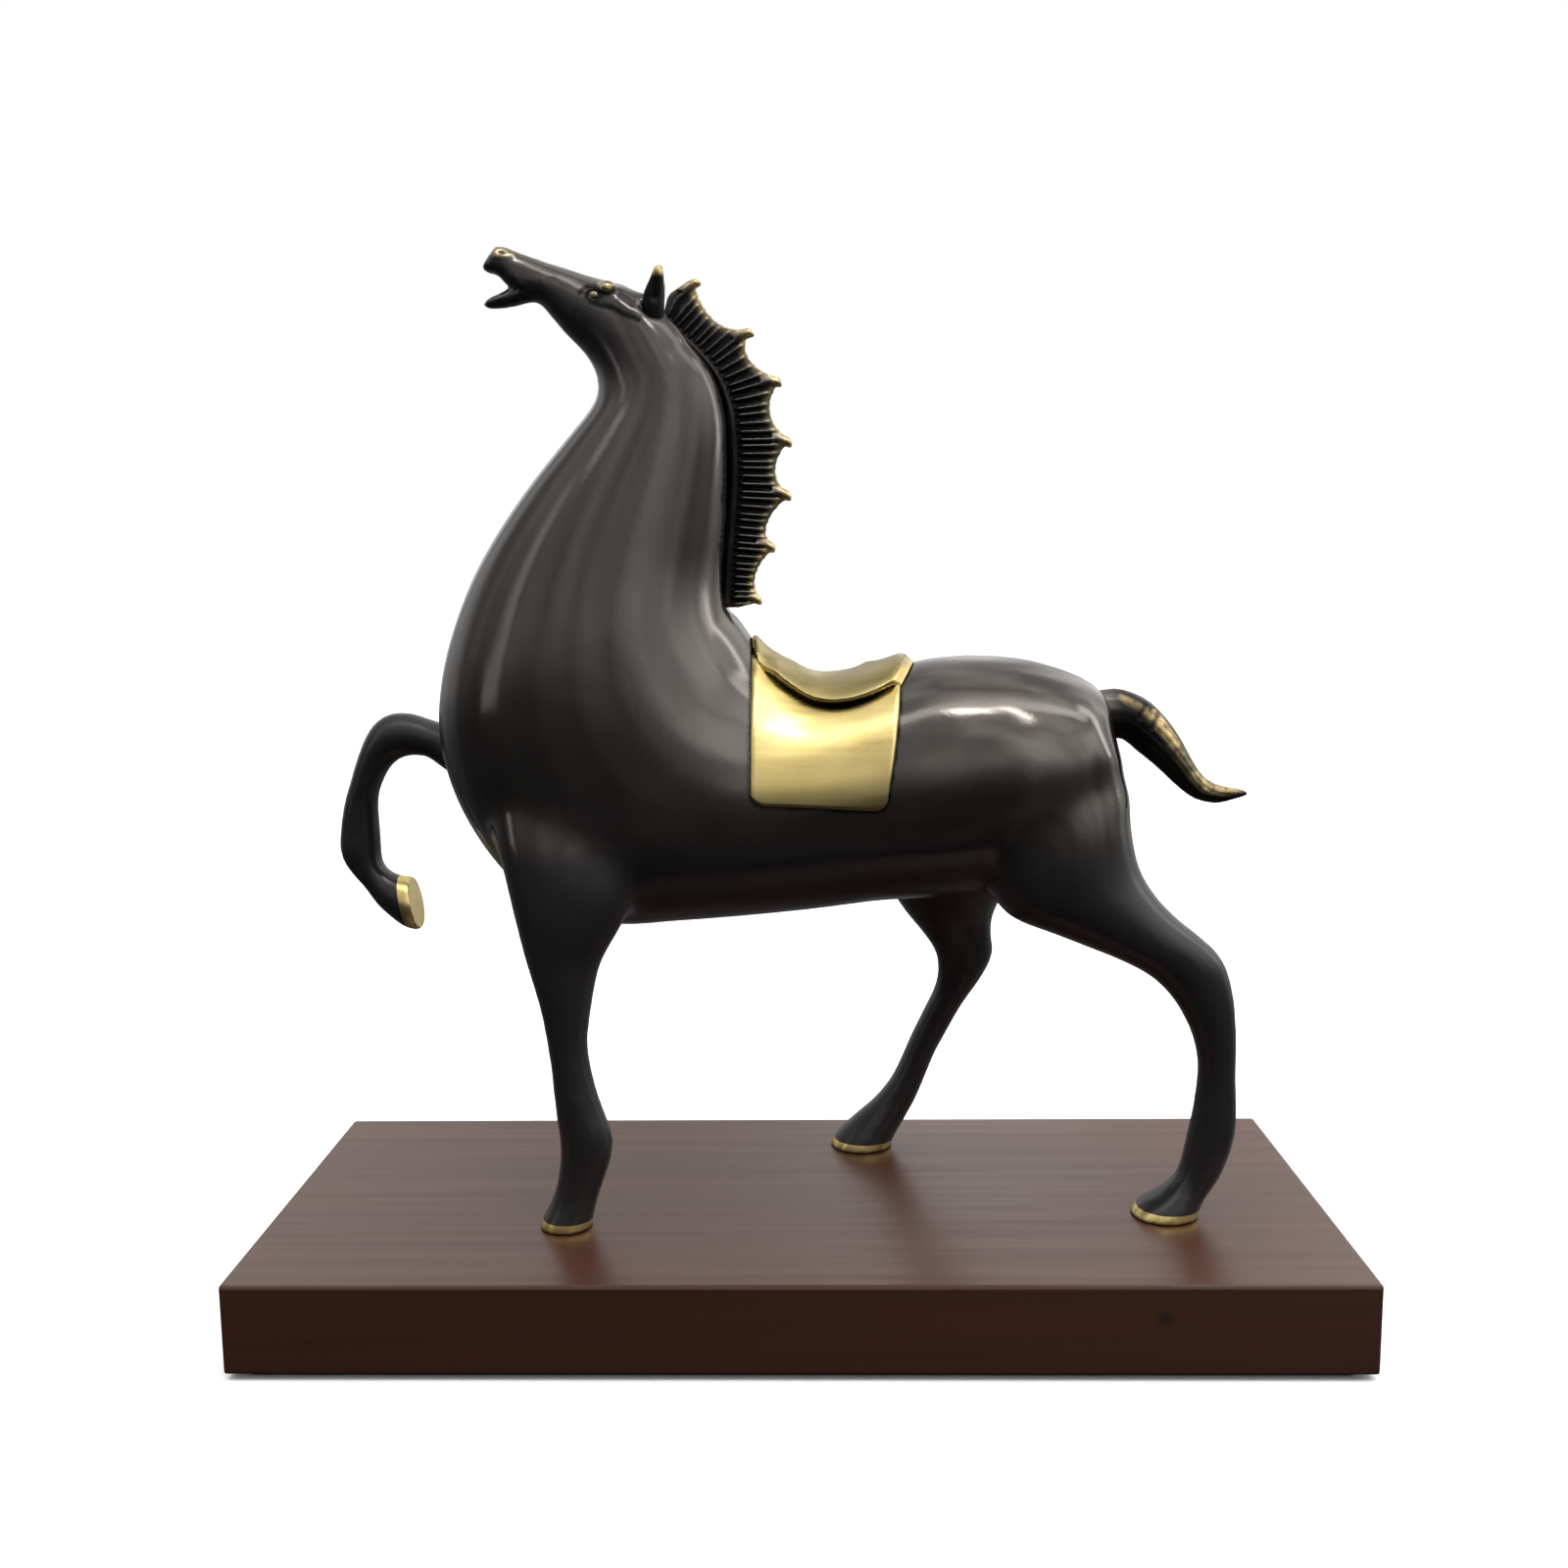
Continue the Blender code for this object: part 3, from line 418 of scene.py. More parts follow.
def object_of(name, shape, smooth=False):
    """An object from a bmesh."""
    mesh = bpy.data.meshes.new(name)
    shape.to_mesh(mesh)
    shape.free()
    if smooth:
        mesh.shade_smooth()
    return object_from(name, mesh)


def solid_of(*names):
    """The given CAD nodes in one bmesh, with their split corners welded."""
    shape = bmesh.new()
    for name in names:
        shape.from_mesh(nodes[name].data)
    bmesh.ops.remove_doubles(shape, verts=shape.verts, dist=WELD)
    return shape


def tree_of(*names):
    shape = solid_of(*names)
    tree = BVHTree.FromBMesh(shape)
    shape.free()
    return tree


def remeshed(shape, voxel):
    """One closed skin round everything in a bmesh, as a new bmesh."""
    obj = object_of("remesh", shape)
    modifier = obj.modifiers.new("remesh", "REMESH")
    modifier.mode = "VOXEL"
    modifier.voxel_size = voxel
    graph = bpy.context.evaluated_depsgraph_get()
    result = bmesh.new()
    result.from_mesh(obj.evaluated_get(graph).to_mesh())
    bpy.data.objects.remove(obj)
    return result


def islands(shape):
    """Lists of connected faces, the largest first."""
    left = set(shape.faces)
    found = []
    while left:
        group = [left.pop()]
        for face in group:
            near = left & {other for edge in face.edges for other in edge.link_faces}
            left -= near
            group.extend(near)
        found.append(group)
    return sorted(found, key=len, reverse=True)


def keep_largest(shape):
    for group in islands(shape)[1:]:
        bmesh.ops.delete(shape, geom=group, context="FACES")


def places_of(shape):
    """Places of the vertices of a bmesh or an object."""
    verts = shape.data.vertices if isinstance(shape, bpy.types.Object) else shape.verts
    return np.array([v.co for v in verts])


def normals_of(shape):
    return np.array([v.normal for v in shape.verts])


def edges_of(shape):
    shape.verts.index_update()
    return np.array([(e.verts[0].index, e.verts[1].index) for e in shape.edges])


def put_places(shape, places):
    for vert, place in zip(shape.verts, places):
        vert.co = place


def neighbour_sums(places, edges):
    sums = np.empty_like(places)
    for axis in range(places.shape[1]):
        first = np.bincount(edges[:, 0], places[edges[:, 1], axis], len(places))
        sums[:, axis] = first + np.bincount(edges[:, 1], places[edges[:, 0], axis], len(places))
    return sums


def fair(places, edges, hold, stiffness, steps):
    """The smoothest skin close to the given one, by conjugate gradients: hold says how close."""
    degree = np.bincount(edges.ravel(), minlength=len(places))[:, None]
    hold = np.broadcast_to(np.asarray(hold, float).reshape(-1, 1), (len(places), 1))

    def bend(x):
        return (degree * x - neighbour_sums(x, edges)) / 4

    def system(x):
        return hold * x + stiffness * bend(bend(x))

    solved = places.copy()
    rest = hold * places - system(solved)
    way = rest.copy()
    size = (rest * rest).sum(0)
    for _ in range(steps):
        pull = system(way)
        step = size / (way * pull).sum(0)
        solved += step * way
        rest -= step * pull
        new_size = (rest * rest).sum(0)
        way = rest + new_size / size * way
        size = new_size
    return solved


def relax(shape, steps, factor=0.5):
    """Plain smoothing of a bmesh."""
    edges = edges_of(shape)
    places = places_of(shape)
    degree = np.bincount(edges.ravel(), minlength=len(places))[:, None]
    for _ in range(steps):
        places += factor * (neighbour_sums(places, edges) / degree - places)
    put_places(shape, places)


def ease(value, low, high):
    """Smooth rise from 0 at low to 1 at high."""
    t = np.clip((value - low) / (high - low), 0, 1)
    return t * t * (3 - 2 * t)


def skin_rings(shape, rings):
    """Faces between rings of corners; a ring of one corner closes an end."""
    for near, far in zip(rings, rings[1:]):
        count = max(len(near), len(far))
        for k in range(count):
            corners = [near[k % len(near)], near[(k + 1) % len(near)],
                       far[(k + 1) % len(far)], far[k % len(far)]]
            shape.faces.new(list(dict.fromkeys(corners)))


def mark(obj, **shares):
    """Stores shares at an object's vertices, one or many of each, for its material to read."""
    for name, values in shares.items():
        layer = obj.data.attributes.new(name, "FLOAT", "POINT")
        values = np.broadcast_to(values, len(obj.data.vertices))
        layer.data.foreach_set("value", values.astype(np.float32))


def dress(obj, material, slot, *replaced):
    """Gives a piece its material and body, and hides the CAD nodes that it stands for. The slot argument
    is not used.
    """
    obj.data.materials.clear()
    obj.data.materials.append(material)
    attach(obj, "root")
    if replaced:
        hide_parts(*replaced)
    return obj


# Castings

def meeting_plane(outer, inner):
    """Middle of the face where two CAD nodes meet, its direction from inner to outer and its reach."""
    tree = tree_of(inner)
    shape = solid_of(outer)
    near = [v.co.copy() for v in shape.verts if tree.find_nearest(v.co)[3] < CONTACT]
    whole = sum((v.co for v in shape.verts), Vector()) / len(shape.verts)
    shape.free()
    places = np.array(near)
    middle = places.mean(0)
    normal = Vector(np.linalg.svd(places - middle)[2][2])
    middle = Vector(middle)
    if normal.dot(whole - middle) < 0:
        normal.negate()
    return middle, normal, np.linalg.norm(places - np.array(middle), axis=1).max()


def cut(shape, middle, normal, reach):
    """Parts the skin along a plane, within reach of its middle."""
    near = []
    for face in shape.faces:
        away = face.calc_center_median() - middle
        if abs(away.dot(normal)) < CUT_DEPTH and away.length < reach:
            near.append(face)
    edges = {e for f in near for e in f.edges}
    verts = {v for f in near for v in f.verts}
    made = bmesh.ops.bisect_plane(shape, geom=[*near, *edges, *verts], dist=1e-7,
                                  plane_co=middle, plane_no=normal)
    line = [g for g in made["geom_cut"] if isinstance(g, bmesh.types.BMEdge)]
    bmesh.ops.split_edges(shape, edges=line)


def horse_skin():
    """Smooth skin over the whole horse, with the hooves run past their soles."""
    shape = solid_of(*CASTINGS, *SHOES.values(), *FILLERS)
    for leg, shoe in SHOES.items():
        down = meeting_plane(shoe, leg)[1]
        longer = solid_of(shoe)
        bmesh.ops.translate(longer, vec=down * SOLE_RUN, verts=longer.verts)
        mesh = bpy.data.meshes.new("sole")
        longer.to_mesh(mesh)
        longer.free()
        shape.from_mesh(mesh)
    shape = remeshed(shape, SKIN_VOXEL)
    keep_largest(shape)
    places = places_of(shape)
    head_low, head_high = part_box("head_casting")
    inside = ((places > np.array(head_low)) & (places < np.array(head_high))).all(1)
    muzzle = ease(places[:, 0], *MUZZLE_START)
    hold = np.where(inside, blend((HEAD_HOLD, MUZZLE_HOLD), muzzle), 1.0)
    for root in LEG_ROOTS:
        away = side_distance(places[:, (0, 2)], root)
        hold *= ROOT_HOLD ** ease(away, ROOT_REACH, ROOT_REACH / 2)
    places = fair(places, edges_of(shape), hold, SKIN_STIFFNESS, SKIN_STEPS)
    pull(places, SKIN_PULLS)
    put_places(shape, places)
    shape.normal_update()
    return shape


def pull(places, shifts):
    """Moves points a little in the side view, fading out with distance."""
    side = places[:, (0, 2)].copy()
    for middle, radius, shift in shifts:
        share = bell(side_distance(side, middle) / (radius * MM)) ** 2
        places[:, 0] += share * shift[0] * MM
        places[:, 2] += share * shift[1] * MM


def cut_joints(shape):
    """Parts the skin at the joints, over the shoes and at the soles."""
    joints = [("neck_casting", "trunk_casting"), ("head_casting", "neck_casting")]
    for leg, shoe in SHOES.items():
        joints += [(leg, "trunk_casting"), (shoe, leg)]
    for outer, inner in joints:
        middle, normal, reach = meeting_plane(outer, inner)
        cut(shape, middle, normal, reach * JOINT_CUT)
        if outer in SHOES.values():
            solid = solid_of(outer)
            sole = max((v.co - middle).dot(normal) for v in solid.verts)
            solid.free()
            if outer == "fore_right_shoe":
                sole += RAISED_SOLE
            cut(shape, middle + normal * sole, normal, reach * SOLE_CUT)


def split_castings(shape):
    """Cuts the skin at the joints and returns {node: bmesh}, each closed by flat caps."""
    normal_layer = shape.verts.layers.float_vector.new("skin_normal")
    for vert in shape.verts:
        vert[normal_layer] = vert.normal
    cut_joints(shape)
    shape.faces.layers.int.new("cap")
    open_edges = [e for e in shape.edges if e.is_boundary]
    made = bmesh.ops.holes_fill(shape, edges=open_edges, sides=0)
    cap = shape.faces.layers.int["cap"]
    for face in made["faces"]:
        face[cap] = 1

    names = [*CASTINGS, *SHOES.values()]
    trees = {name: tree_of(name) for name in names}
    best = {}
    for group in islands(shape):
        sample = [f.calc_center_median() for f in group[::max(1, len(group) // MATCH_SAMPLES)]]
        for name in names:
            off = np.mean([trees[name].find_nearest(p)[3] for p in sample])
            if off < best.get(name, (MATCH_LIMIT, None))[0]:
                best[name] = (off, group)
    pieces = {name: part_of(shape, group) for name, (_, group) in best.items()}
    shape.free()
    return pieces


def part_of(shape, group):
    """The given faces as a bmesh of their own, with the skin's directions and caps."""
    part = bmesh.new()
    old_normal = shape.verts.layers.float_vector["skin_normal"]
    old_cap = shape.faces.layers.int["cap"]
    new_normal = part.verts.layers.float_vector.new("skin_normal")
    new_cap = part.faces.layers.int.new("cap")
    twins = {}
    for face in group:
        for vert in face.verts:
            if vert not in twins:
                twins[vert] = part.verts.new(vert.co)
                twins[vert][new_normal] = vert[old_normal]
    for face in group:
        part.faces.new([twins[v] for v in face.verts])[new_cap] = face[old_cap]
    return part


def casting_object(name, shape):
    """A casting as an object that keeps the uncut skin's shading up to its joints."""
    bmesh.ops.recalc_face_normals(shape, faces=shape.faces)
    obj = object_of(name, shape, smooth=True)
    mesh = obj.data
    wanted = np.empty(len(mesh.vertices) * 3, np.float32)
    mesh.attributes["skin_normal"].data.foreach_get("vector", wanted)
    wanted = wanted.reshape(-1, 3)
    caps = np.empty(len(mesh.polygons), np.int32)
    mesh.attributes["cap"].data.foreach_get("value", caps)
    corner_vert = np.empty(len(mesh.loops), np.int32)
    mesh.loops.foreach_get("vertex_index", corner_vert)
    normals = wanted[corner_vert]
    for face in mesh.polygons:
        if caps[face.index]:
            normals[list(face.loop_indices)] = face.normal
    for extra in ("skin_normal", "cap"):
        mesh.attributes.remove(mesh.attributes[extra])
    lengths = np.linalg.norm(normals, axis=1, keepdims=True)
    mesh.normals_split_custom_set(normals / np.maximum(lengths, TINY))
    return obj


def refine_head(shape):
    """A finer and softer skin above the head's joint."""
    bmesh.ops.recalc_face_normals(shape, faces=shape.faces)
    cap = shape.faces.layers.int["cap"]
    rim = {v for f in shape.faces if f[cap] for v in f.verts}
    edges = [e for e in shape.edges if not (e.verts[0] in rim and e.verts[1] in rim)]
    bmesh.ops.subdivide_edges(shape, edges=edges, cuts=1, smooth=1.0, use_grid_fill=True)
    loose = [v for v in shape.verts if v.co.z - PLINTH_TOP > HEAD_WORK[1] * MM]
    for _ in range(HEAD_SOFTEN):
        bmesh.ops.smooth_vert(shape, verts=loose, factor=0.5, use_axis_x=True, use_axis_y=True,
                              use_axis_z=True)
    shape.normal_update()


def head_relief(places):
    """Lift of the head's skin and its rubbed and dark shares, at each place."""
    side = places[:, (0, 2)]
    flank = ease(np.abs(places[:, 1] - MID), *HEAD_FLANK)
    lift = np.zeros(len(places))
    dark = np.zeros(len(places))
    for line, radius, depth, darkness in HEAD_STROKES:
        share = bell(stroke_distance(side, line, radius)) ** 2
        lift += depth * MM * share
        dark = np.maximum(dark, darkness * ease(share, *STROKE_EDGE))
    nostril = oval_distance(side, NOSTRIL, NOSTRIL_HALF)
    eye = oval_distance(side, EYE, EYE_HALF)
    brow = oval_distance(side, BROW, BROW_HALF)
    hole = ease(nostril, *NOSTRIL_HOLE)
    lift += NOSTRIL_RISE * ease(nostril, *NOSTRIL_RIM) - NOSTRIL_DEPTH * hole
    lift += BROW_RISE * bell(brow) ** BROW_ROUND - SOCKET_DEPTH * bell(eye / SOCKET_SIZE)
    rub = np.maximum(ease(nostril, *NOSTRIL_RUB) * (1 - hole), ease(brow, *BROW_RUB))
    socket = SOCKET_DARK * ease(eye, *SOCKET_EDGE) * ease(brow, *BROW_FOOT)
    place, width, darkness = BROW_RING
    under_brow = darkness * np.exp(-((brow - place) / width) ** 2) * ease(side[:, 1], *BROW_SHADE)
    dark = np.max((dark, HOLE_DARK * hole, socket, under_brow), axis=0)
    return lift * flank, HEAD_RUB * rub * flank, dark * flank


def head_object(shape):
    """Head with nostrils, eye sockets, brows and temple folds worked into a finer skin."""
    refine_head(shape)
    places = places_of(shape)
    lift, rub, dark = head_relief(places)
    above_neck = ease((places[:, 2] - PLINTH_TOP) / MM, *HEAD_WORK)
    places += normals_of(shape) * (lift * above_neck)[:, None]
    pull(places, HEAD_PULLS)
    put_places(shape, places)
    shape.normal_update()
    layer = shape.verts.layers.float_vector["skin_normal"]
    for vert, share in zip(shape.verts, above_neck):
        vert[layer] = vert[layer].lerp(vert.normal, share) if share < 1 else vert.normal
    obj = casting_object("head", shape)
    mark(obj, rub=rub, dark=dark)
    return obj


def make_eyes(head_tree, material):
    """Eyes as long domed balls in the sockets, turned with the head's surface."""
    x, z = side_place(EYE)
    for name, way in (("eye_left", -1), ("eye_right", 1)):
        start = Vector((x, MID + way * RAY_START, z))
        place, normal, _, _ = head_tree.ray_cast(start, Vector((0, -way, 0)))
        shape = bmesh.new()
        rings = []
        for radius, height in EYE_PROFILE:
            count = EYE_SIDES if radius else 1
            turns = [2 * math.pi * k / count for k in range(count)]
            rings.append([shape.verts.new((radius * EYE_HALF[0] * math.cos(a) * MM,
                                           radius * EYE_HALF[1] * math.sin(a) * MM,
                                           height * EYE_DOME)) for a in turns])
        skin_rings(shape, rings)
        bmesh.ops.recalc_face_normals(shape, faces=shape.faces)
        eye = object_of(name, shape, smooth=True)
        across = EYE_LINE.cross(normal).normalized()
        along = normal.cross(across).normalized()
        turn = Matrix((along, across, normal)).transposed().to_4x4()
        eye.data.transform(Matrix.Translation(place) @ turn)
        # Pale brass and bronze tones on the eyeball are a painted glint
        mark(eye, rub=EYE_GLINT, dark=0, bronze=1)
        dress(eye, material, "black_patina")


# Mane, ears and tail

def mane_foot_line():
    """The mane's foot in the side view, from the head down, as evenly spaced points."""
    places = places_of(nodes["mane_crest"])
    wide = np.abs(places[:, 1] - MID).max()
    feet = places[np.abs(places[:, 1] - MID) > FOOT_WIDE * wide][:, (0, 2)]
    feet = np.unique(np.round(feet, 6), axis=0)
    feet = feet[np.argsort(-feet[:, 1])]
    along = np.concatenate(([0], np.cumsum(np.hypot(*np.diff(feet, axis=0).T))))
    even = np.linspace(0, along[-1], FOOT_POINTS)
    return np.column_stack([np.interp(even, along, feet[:, axis]) for axis in (0, 1)])


def outward(line):
    """Directions away from the neck along the mane's foot."""
    tangent = np.gradient(line, axis=0)
    kernel = np.hanning(2 * FOOT_BLUR + 1)
    kernel /= kernel.sum()
    padded = np.pad(tangent, ((FOOT_BLUR, FOOT_BLUR), (0, 0)), "edge")
    tangent = np.column_stack([np.convolve(padded[:, axis], kernel, "valid") for axis in (0, 1)])
    normal = np.column_stack((-tangent[:, 1], tangent[:, 0]))
    return normal / np.linalg.norm(normal, axis=1)[:, None]


def add_tube(shape, stations):
    """A closed tube: each station is its middle, half width along a direction and half width in y."""
    rings = []
    for middle, along, half_along, half_across in stations:
        ring = []
        for k in range(TUBE_SIDES):
            angle = 2 * math.pi * (k + 0.5) / TUBE_SIDES
            shift = along * half_along * math.cos(angle)
            ring.append(shape.verts.new((middle[0] + shift[0], MID + half_across * math.sin(angle),
                                         middle[1] + shift[1])))
        rings.append(ring)
    skin_rings(shape, rings)
    shape.faces.new(rings[0])
    shape.faces.new(rings[-1])


def add_rib(shape, foot, way, length, root):
    """One flat rib of the mane from its rail to just past the core's edge."""
    along = np.array((way[1], -way[0]))
    stations = []
    for station in range(RIB_STATIONS):
        t = station / (RIB_STATIONS - 1)
        end = math.sqrt(max(1 - t ** RIB_ROUND, RIB_BLUNT))
        half = blend((root, RIB_EDGE), t) * end
        stations.append((foot + way * length * t, along, RIB_HALF * end, half))
    add_tube(shape, stations)


def add_hook(shape, tip, way):
    """The blunt, drooping end of one of the mane's points."""
    along = np.array((way[1], -way[0]))
    stations = []
    for t in HOOK_STATIONS:
        size = blend((HOOK_ROOT, HOOK_TIP), min(t / HOOK_TAPER, 1))
        past = max(t - HOOK_ROUND, 0) / (1 - HOOK_ROUND)
        size *= math.sqrt(max(1 - past ** 2, HOOK_BLUNT))
        middle = tip - way * HOOK_LENGTH * (1 - t) - along * HOOK_DROOP * (1 - t * t)
        stations.append((middle, along, size, size * HOOK_WIDE))
    add_tube(shape, stations)


def reach_left(tree, place, way):
    """How far the mane runs on from a side-view place in a direction."""
    hit = tree.ray_cast(Vector((place[0], MID, place[1])), Vector((way[0], 0, way[1])))
    return hit[3] if hit[0] is not None else 0


def mane_shape(tree, line, normal, high, across):
    """Rail, core, ribs and hooks of the mane as one skin."""
    shape = solid_of("mane_crest")
    for vert in shape.verts:
        vert.co.y = MID + (vert.co.y - MID) * CORE_NARROW
    rail = []
    for index in range(0, len(line), RAIL_STEP):
        half = high[index] / 2
        rail.append((line[index] + normal[index] * half, normal[index], half, across[index]))
    add_tube(shape, rail)
    for index in np.linspace(RIB_MARGIN, len(line) - 1 - RIB_MARGIN, MANE_RIBS).round().astype(int):
        way = normal[index]
        foot = line[index] + way * high[index]
        length = reach_left(tree, foot, way)
        if length:
            add_rib(shape, foot, way, length + RIB_PROUD, across[index] * RIB_ROOT)
    for tip in MANE_TIPS:
        place = side_place(tip)
        add_hook(shape, place, normal[np.argmin(((line - place) ** 2).sum(1))])
    bmesh.ops.recalc_face_normals(shape, faces=shape.faces)
    shape = remeshed(shape, MANE_VOXEL)
    keep_largest(shape)
    relax(shape, 2)
    return shape


def rib_mask(shape, places):
    """1 on the ribs and 0 in the gaps, by the mane's thickness against its neighbourhood."""
    edges = edges_of(shape)
    thick = np.abs(places[:, 1:2] - MID)
    count = neighbour_sums(np.ones_like(thick), edges)
    around = thick
    for _ in range(RIB_BLUR):
        around = neighbour_sums(around, edges) / count
    return ease((thick - around)[:, 0], *RIB_RELIEF)


def make_mane(material):
    """A comb of ribs on a rail and a thin core, drawn out to hooked points."""
    line = mane_foot_line()
    normal = outward(line)
    lower = ease(np.linspace(0, 1, len(line)), *RAIL_GROWS)
    high = blend(RAIL_HIGH, lower)
    tree = tree_of("mane_crest")
    shape = mane_shape(tree, line, normal, high, blend(RAIL_ACROSS, lower))
    places = places_of(shape)
    side = places[:, (0, 2)].copy()
    nearest = np.array([np.argmin(((line - p) ** 2).sum(1)) for p in side])
    ways = normal[nearest]
    over_rail = ((side - line[nearest]) * ways).sum(1) - high[nearest]
    left = np.array([reach_left(tree, p, way) for p, way in zip(side, ways)])
    to_tip = np.min([side_distance(side, tip) for tip in MANE_TIPS], axis=0)
    reach = np.clip(over_rail / np.maximum(over_rail + left, MM), 0, 1)
    hollow = HOLLOW_CUT * reach * (1 - np.exp(-(to_tip / HOLLOW_START) ** 2))
    places[:, (0, 2)] -= ways * hollow[:, None]
    pull(places, MANE_PULLS)
    put_places(shape, places)
    proud = rib_mask(shape, places)
    # Painted shade in the gaps between the ribs
    gap = (1 - proud) * ease(over_rail, 0, MM) * ease(to_tip, *GAP_TIP)
    near_tip = np.exp(-(to_tip / TIP_GLOW) ** 2)
    rub = ease(left, *EDGE_WEAR) * blend(EDGE_GLOW, near_tip) * blend(RIB_GLOW, proud)
    obj = object_of("mane", shape, smooth=True)
    paler = blend(RIB_TONE, lower[nearest])
    mark(obj, rub=np.maximum(rub, ease(to_tip, *TIP_WEAR)), dark=GAP_SHADE * gap,
         bronze=paler * proud * ease(over_rail, 0, 2 * MM))
    return dress(obj, material, "black_patina", "mane_crest")


def make_ears(material):
    """Cone ears, cupped on their outer side, with a rubbed tip."""
    pieces = []
    for name, shift in (("ear_left", EAR_SHIFT), ("ear_right", FAR_EAR_SHIFT)):
        shape = remeshed(solid_of(name), EAR_VOXEL)
        places = fair(places_of(shape), edges_of(shape), 1, DETAIL_STIFFNESS, SKIN_STEPS)
        low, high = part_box(name)
        middle_x, middle_y = (low.x + high.x) / 2, (low.y + high.y) / 2
        way = np.sign(middle_y - MID)
        height = (places[:, 2] - low.z) / (high.z - low.z)
        cup = np.exp(-((places[:, 0] - middle_x - CUP_OFFSET) / CUP_HALF) ** 2)
        cup *= ease(height, *CUP_FOOT) * ease(height, *CUP_TOP)
        cup *= ease(way * (places[:, 1] - middle_y), 0, CUP_EDGE)
        places[:, 1] -= way * CUP_DEPTH * cup
        places[:, 0] += shift
        places[:, 2] -= EAR_DROP
        put_places(shape, places)
        relax(shape, 1)
        obj = object_of(name.replace("ear", "ear_shell"), shape, smooth=True)
        mark(obj, rub=ease(height, *EAR_TIP), dark=cup)
        pieces.append(dress(obj, material, "black_patina", name))
    return pieces


def tail_marks(side):
    """Shares of the rubbed locks and of the notches between them, at side-view places."""
    lock = np.zeros(len(side))
    for line, radius, wear in TAIL_LOCKS:
        lock = np.maximum(lock, wear * bell(stroke_distance(side, line, radius)))
    notch = np.zeros(len(side))
    for line in TAIL_NOTCHES:
        notch = np.maximum(notch, bell(stroke_distance(side, line, NOTCH_RADIUS)))
    return lock, notch


def make_tail(material):
    """Tail of fine strands with rubbed locks along its upper side."""
    shape = remeshed(solid_of("tail"), TAIL_VOXEL)
    put_places(shape, fair(places_of(shape), edges_of(shape), 1, DETAIL_STIFFNESS, SKIN_STEPS))
    shape.normal_update()
    places = places_of(shape)
    normals = normals_of(shape)
    low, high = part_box("tail")
    along = (places[:, 0] - low.x) / (high.x - low.x)
    slot = np.clip((along * TAIL_BINS).astype(int), 0, TAIL_BINS - 1)
    count = np.maximum(np.bincount(slot, minlength=TAIL_BINS), 1)
    heights = np.bincount(slot, places[:, 2], TAIL_BINS) / count
    centre = np.interp(along * TAIL_BINS - 0.5, np.arange(TAIL_BINS), heights)
    angle = np.arctan2(places[:, 1] - MID, places[:, 2] - centre)
    sway, turns = STRAND_SWAY
    wave = TAIL_STRANDS * angle + STRAND_TWIST * along + sway * np.sin(turns * along + 2 * angle)
    fade = ease(along, *STRAND_START) * ease(along, *STRAND_END)
    strand = np.abs(np.sin(wave / 2))
    lock, notch = tail_marks(places[:, (0, 2)])
    flank = ease(np.abs(places[:, 1] - MID), *TAIL_FLANK)
    lift = STRAND_DEPTH * (strand - STRAND_LEVEL) * fade + LOCK_RISE * lock - NOTCH_DEPTH * notch * flank
    put_places(shape, places + normals * lift[:, None])
    obj = object_of("tail_hair", shape, smooth=True)
    sway, turns = HAIR_SWAY
    hair = np.abs(np.sin(HAIR_RATE * wave + sway * np.sin(turns * along)))
    upward = normals[:, 2]
    notch = NOTCH_DARK * notch
    mark(obj, rub=lock * blend(HAIR_WEAR, hair) * (1 - notch) * ease(upward, *LOCK_UP),
         bronze=ease(along, *TAIL_ROOT) * ease(upward, *ROOT_UP),
         dark=np.maximum(STRAND_DARK * ease(strand, *STRAND_GAP) * fade, notch))
    return dress(obj, material, "black_patina", "tail")


# Saddle

class Back:
    """The horse's barrel under the saddle, reached by rays from a line inside it."""

    def __init__(self, tree, axis_height):
        self.tree = tree
        self.height = axis_height

    def place(self, x, angle):
        """Point and normal of the skin at a place along the horse and an angle from upright."""
        start = Vector((x, MID, self.height))
        way = Vector((0, math.sin(angle), math.cos(angle)))
        place, normal, _, _ = self.tree.ray_cast(start, way)
        return place, normal if normal.dot(way) > 0 else -normal

    def angle_at(self, x, z, rise):
        """Angle where a sheet that stands off the skin by rise is at a height, on one side."""
        low, high = 0.0, math.pi / 2
        for _ in range(16):
            middle = (low + high) / 2
            place, normal = self.place(x, middle)
            if place.z + normal.z * rise > z:
                low = middle
            else:
                high = middle
        return (low + high) / 2


def eased_shares(count):
    """Shares from 0 to 1, closer together towards both ends."""
    return [(1 - math.cos(math.pi * k / (count - 1))) / 2 for k in range(count)]


def wrapped_sheet(name, back, x_at, limit_at, top_at, under_at):
    """A closed sheet over the back: rings run across it from side to side, over and under."""
    shape = bmesh.new()
    rings = []
    for u in eased_shares(SHEET_COLUMNS):
        over, under = [], []
        for v in eased_shares(SHEET_ROWS):
            span = 2 * v - 1
            x = x_at(u, abs(span))
            place, normal = back.place(x, span * limit_at(x, u))
            over.append(shape.verts.new(place + normal * top_at(u, v, x)))
            under.append(shape.verts.new(place + normal * under_at(u, v, x)))
        rings.append(over + under[::-1])
    skin_rings(shape, rings)
    for ring in (rings[0], rings[-1]):
        for j in range(SHEET_ROWS - 1):
            shape.faces.new((ring[j], ring[j + 1], ring[-2 - j], ring[-1 - j]))
    bmesh.ops.recalc_face_normals(shape, faces=shape.faces)
    return object_of(name, shape, smooth=True)


def dome(away, edge):
    """Height share of a sheet with a rounded edge, at a distance from its border."""
    t = min(max(away / edge, 0), 1)
    return math.sqrt(1 - (1 - t) ** 2)


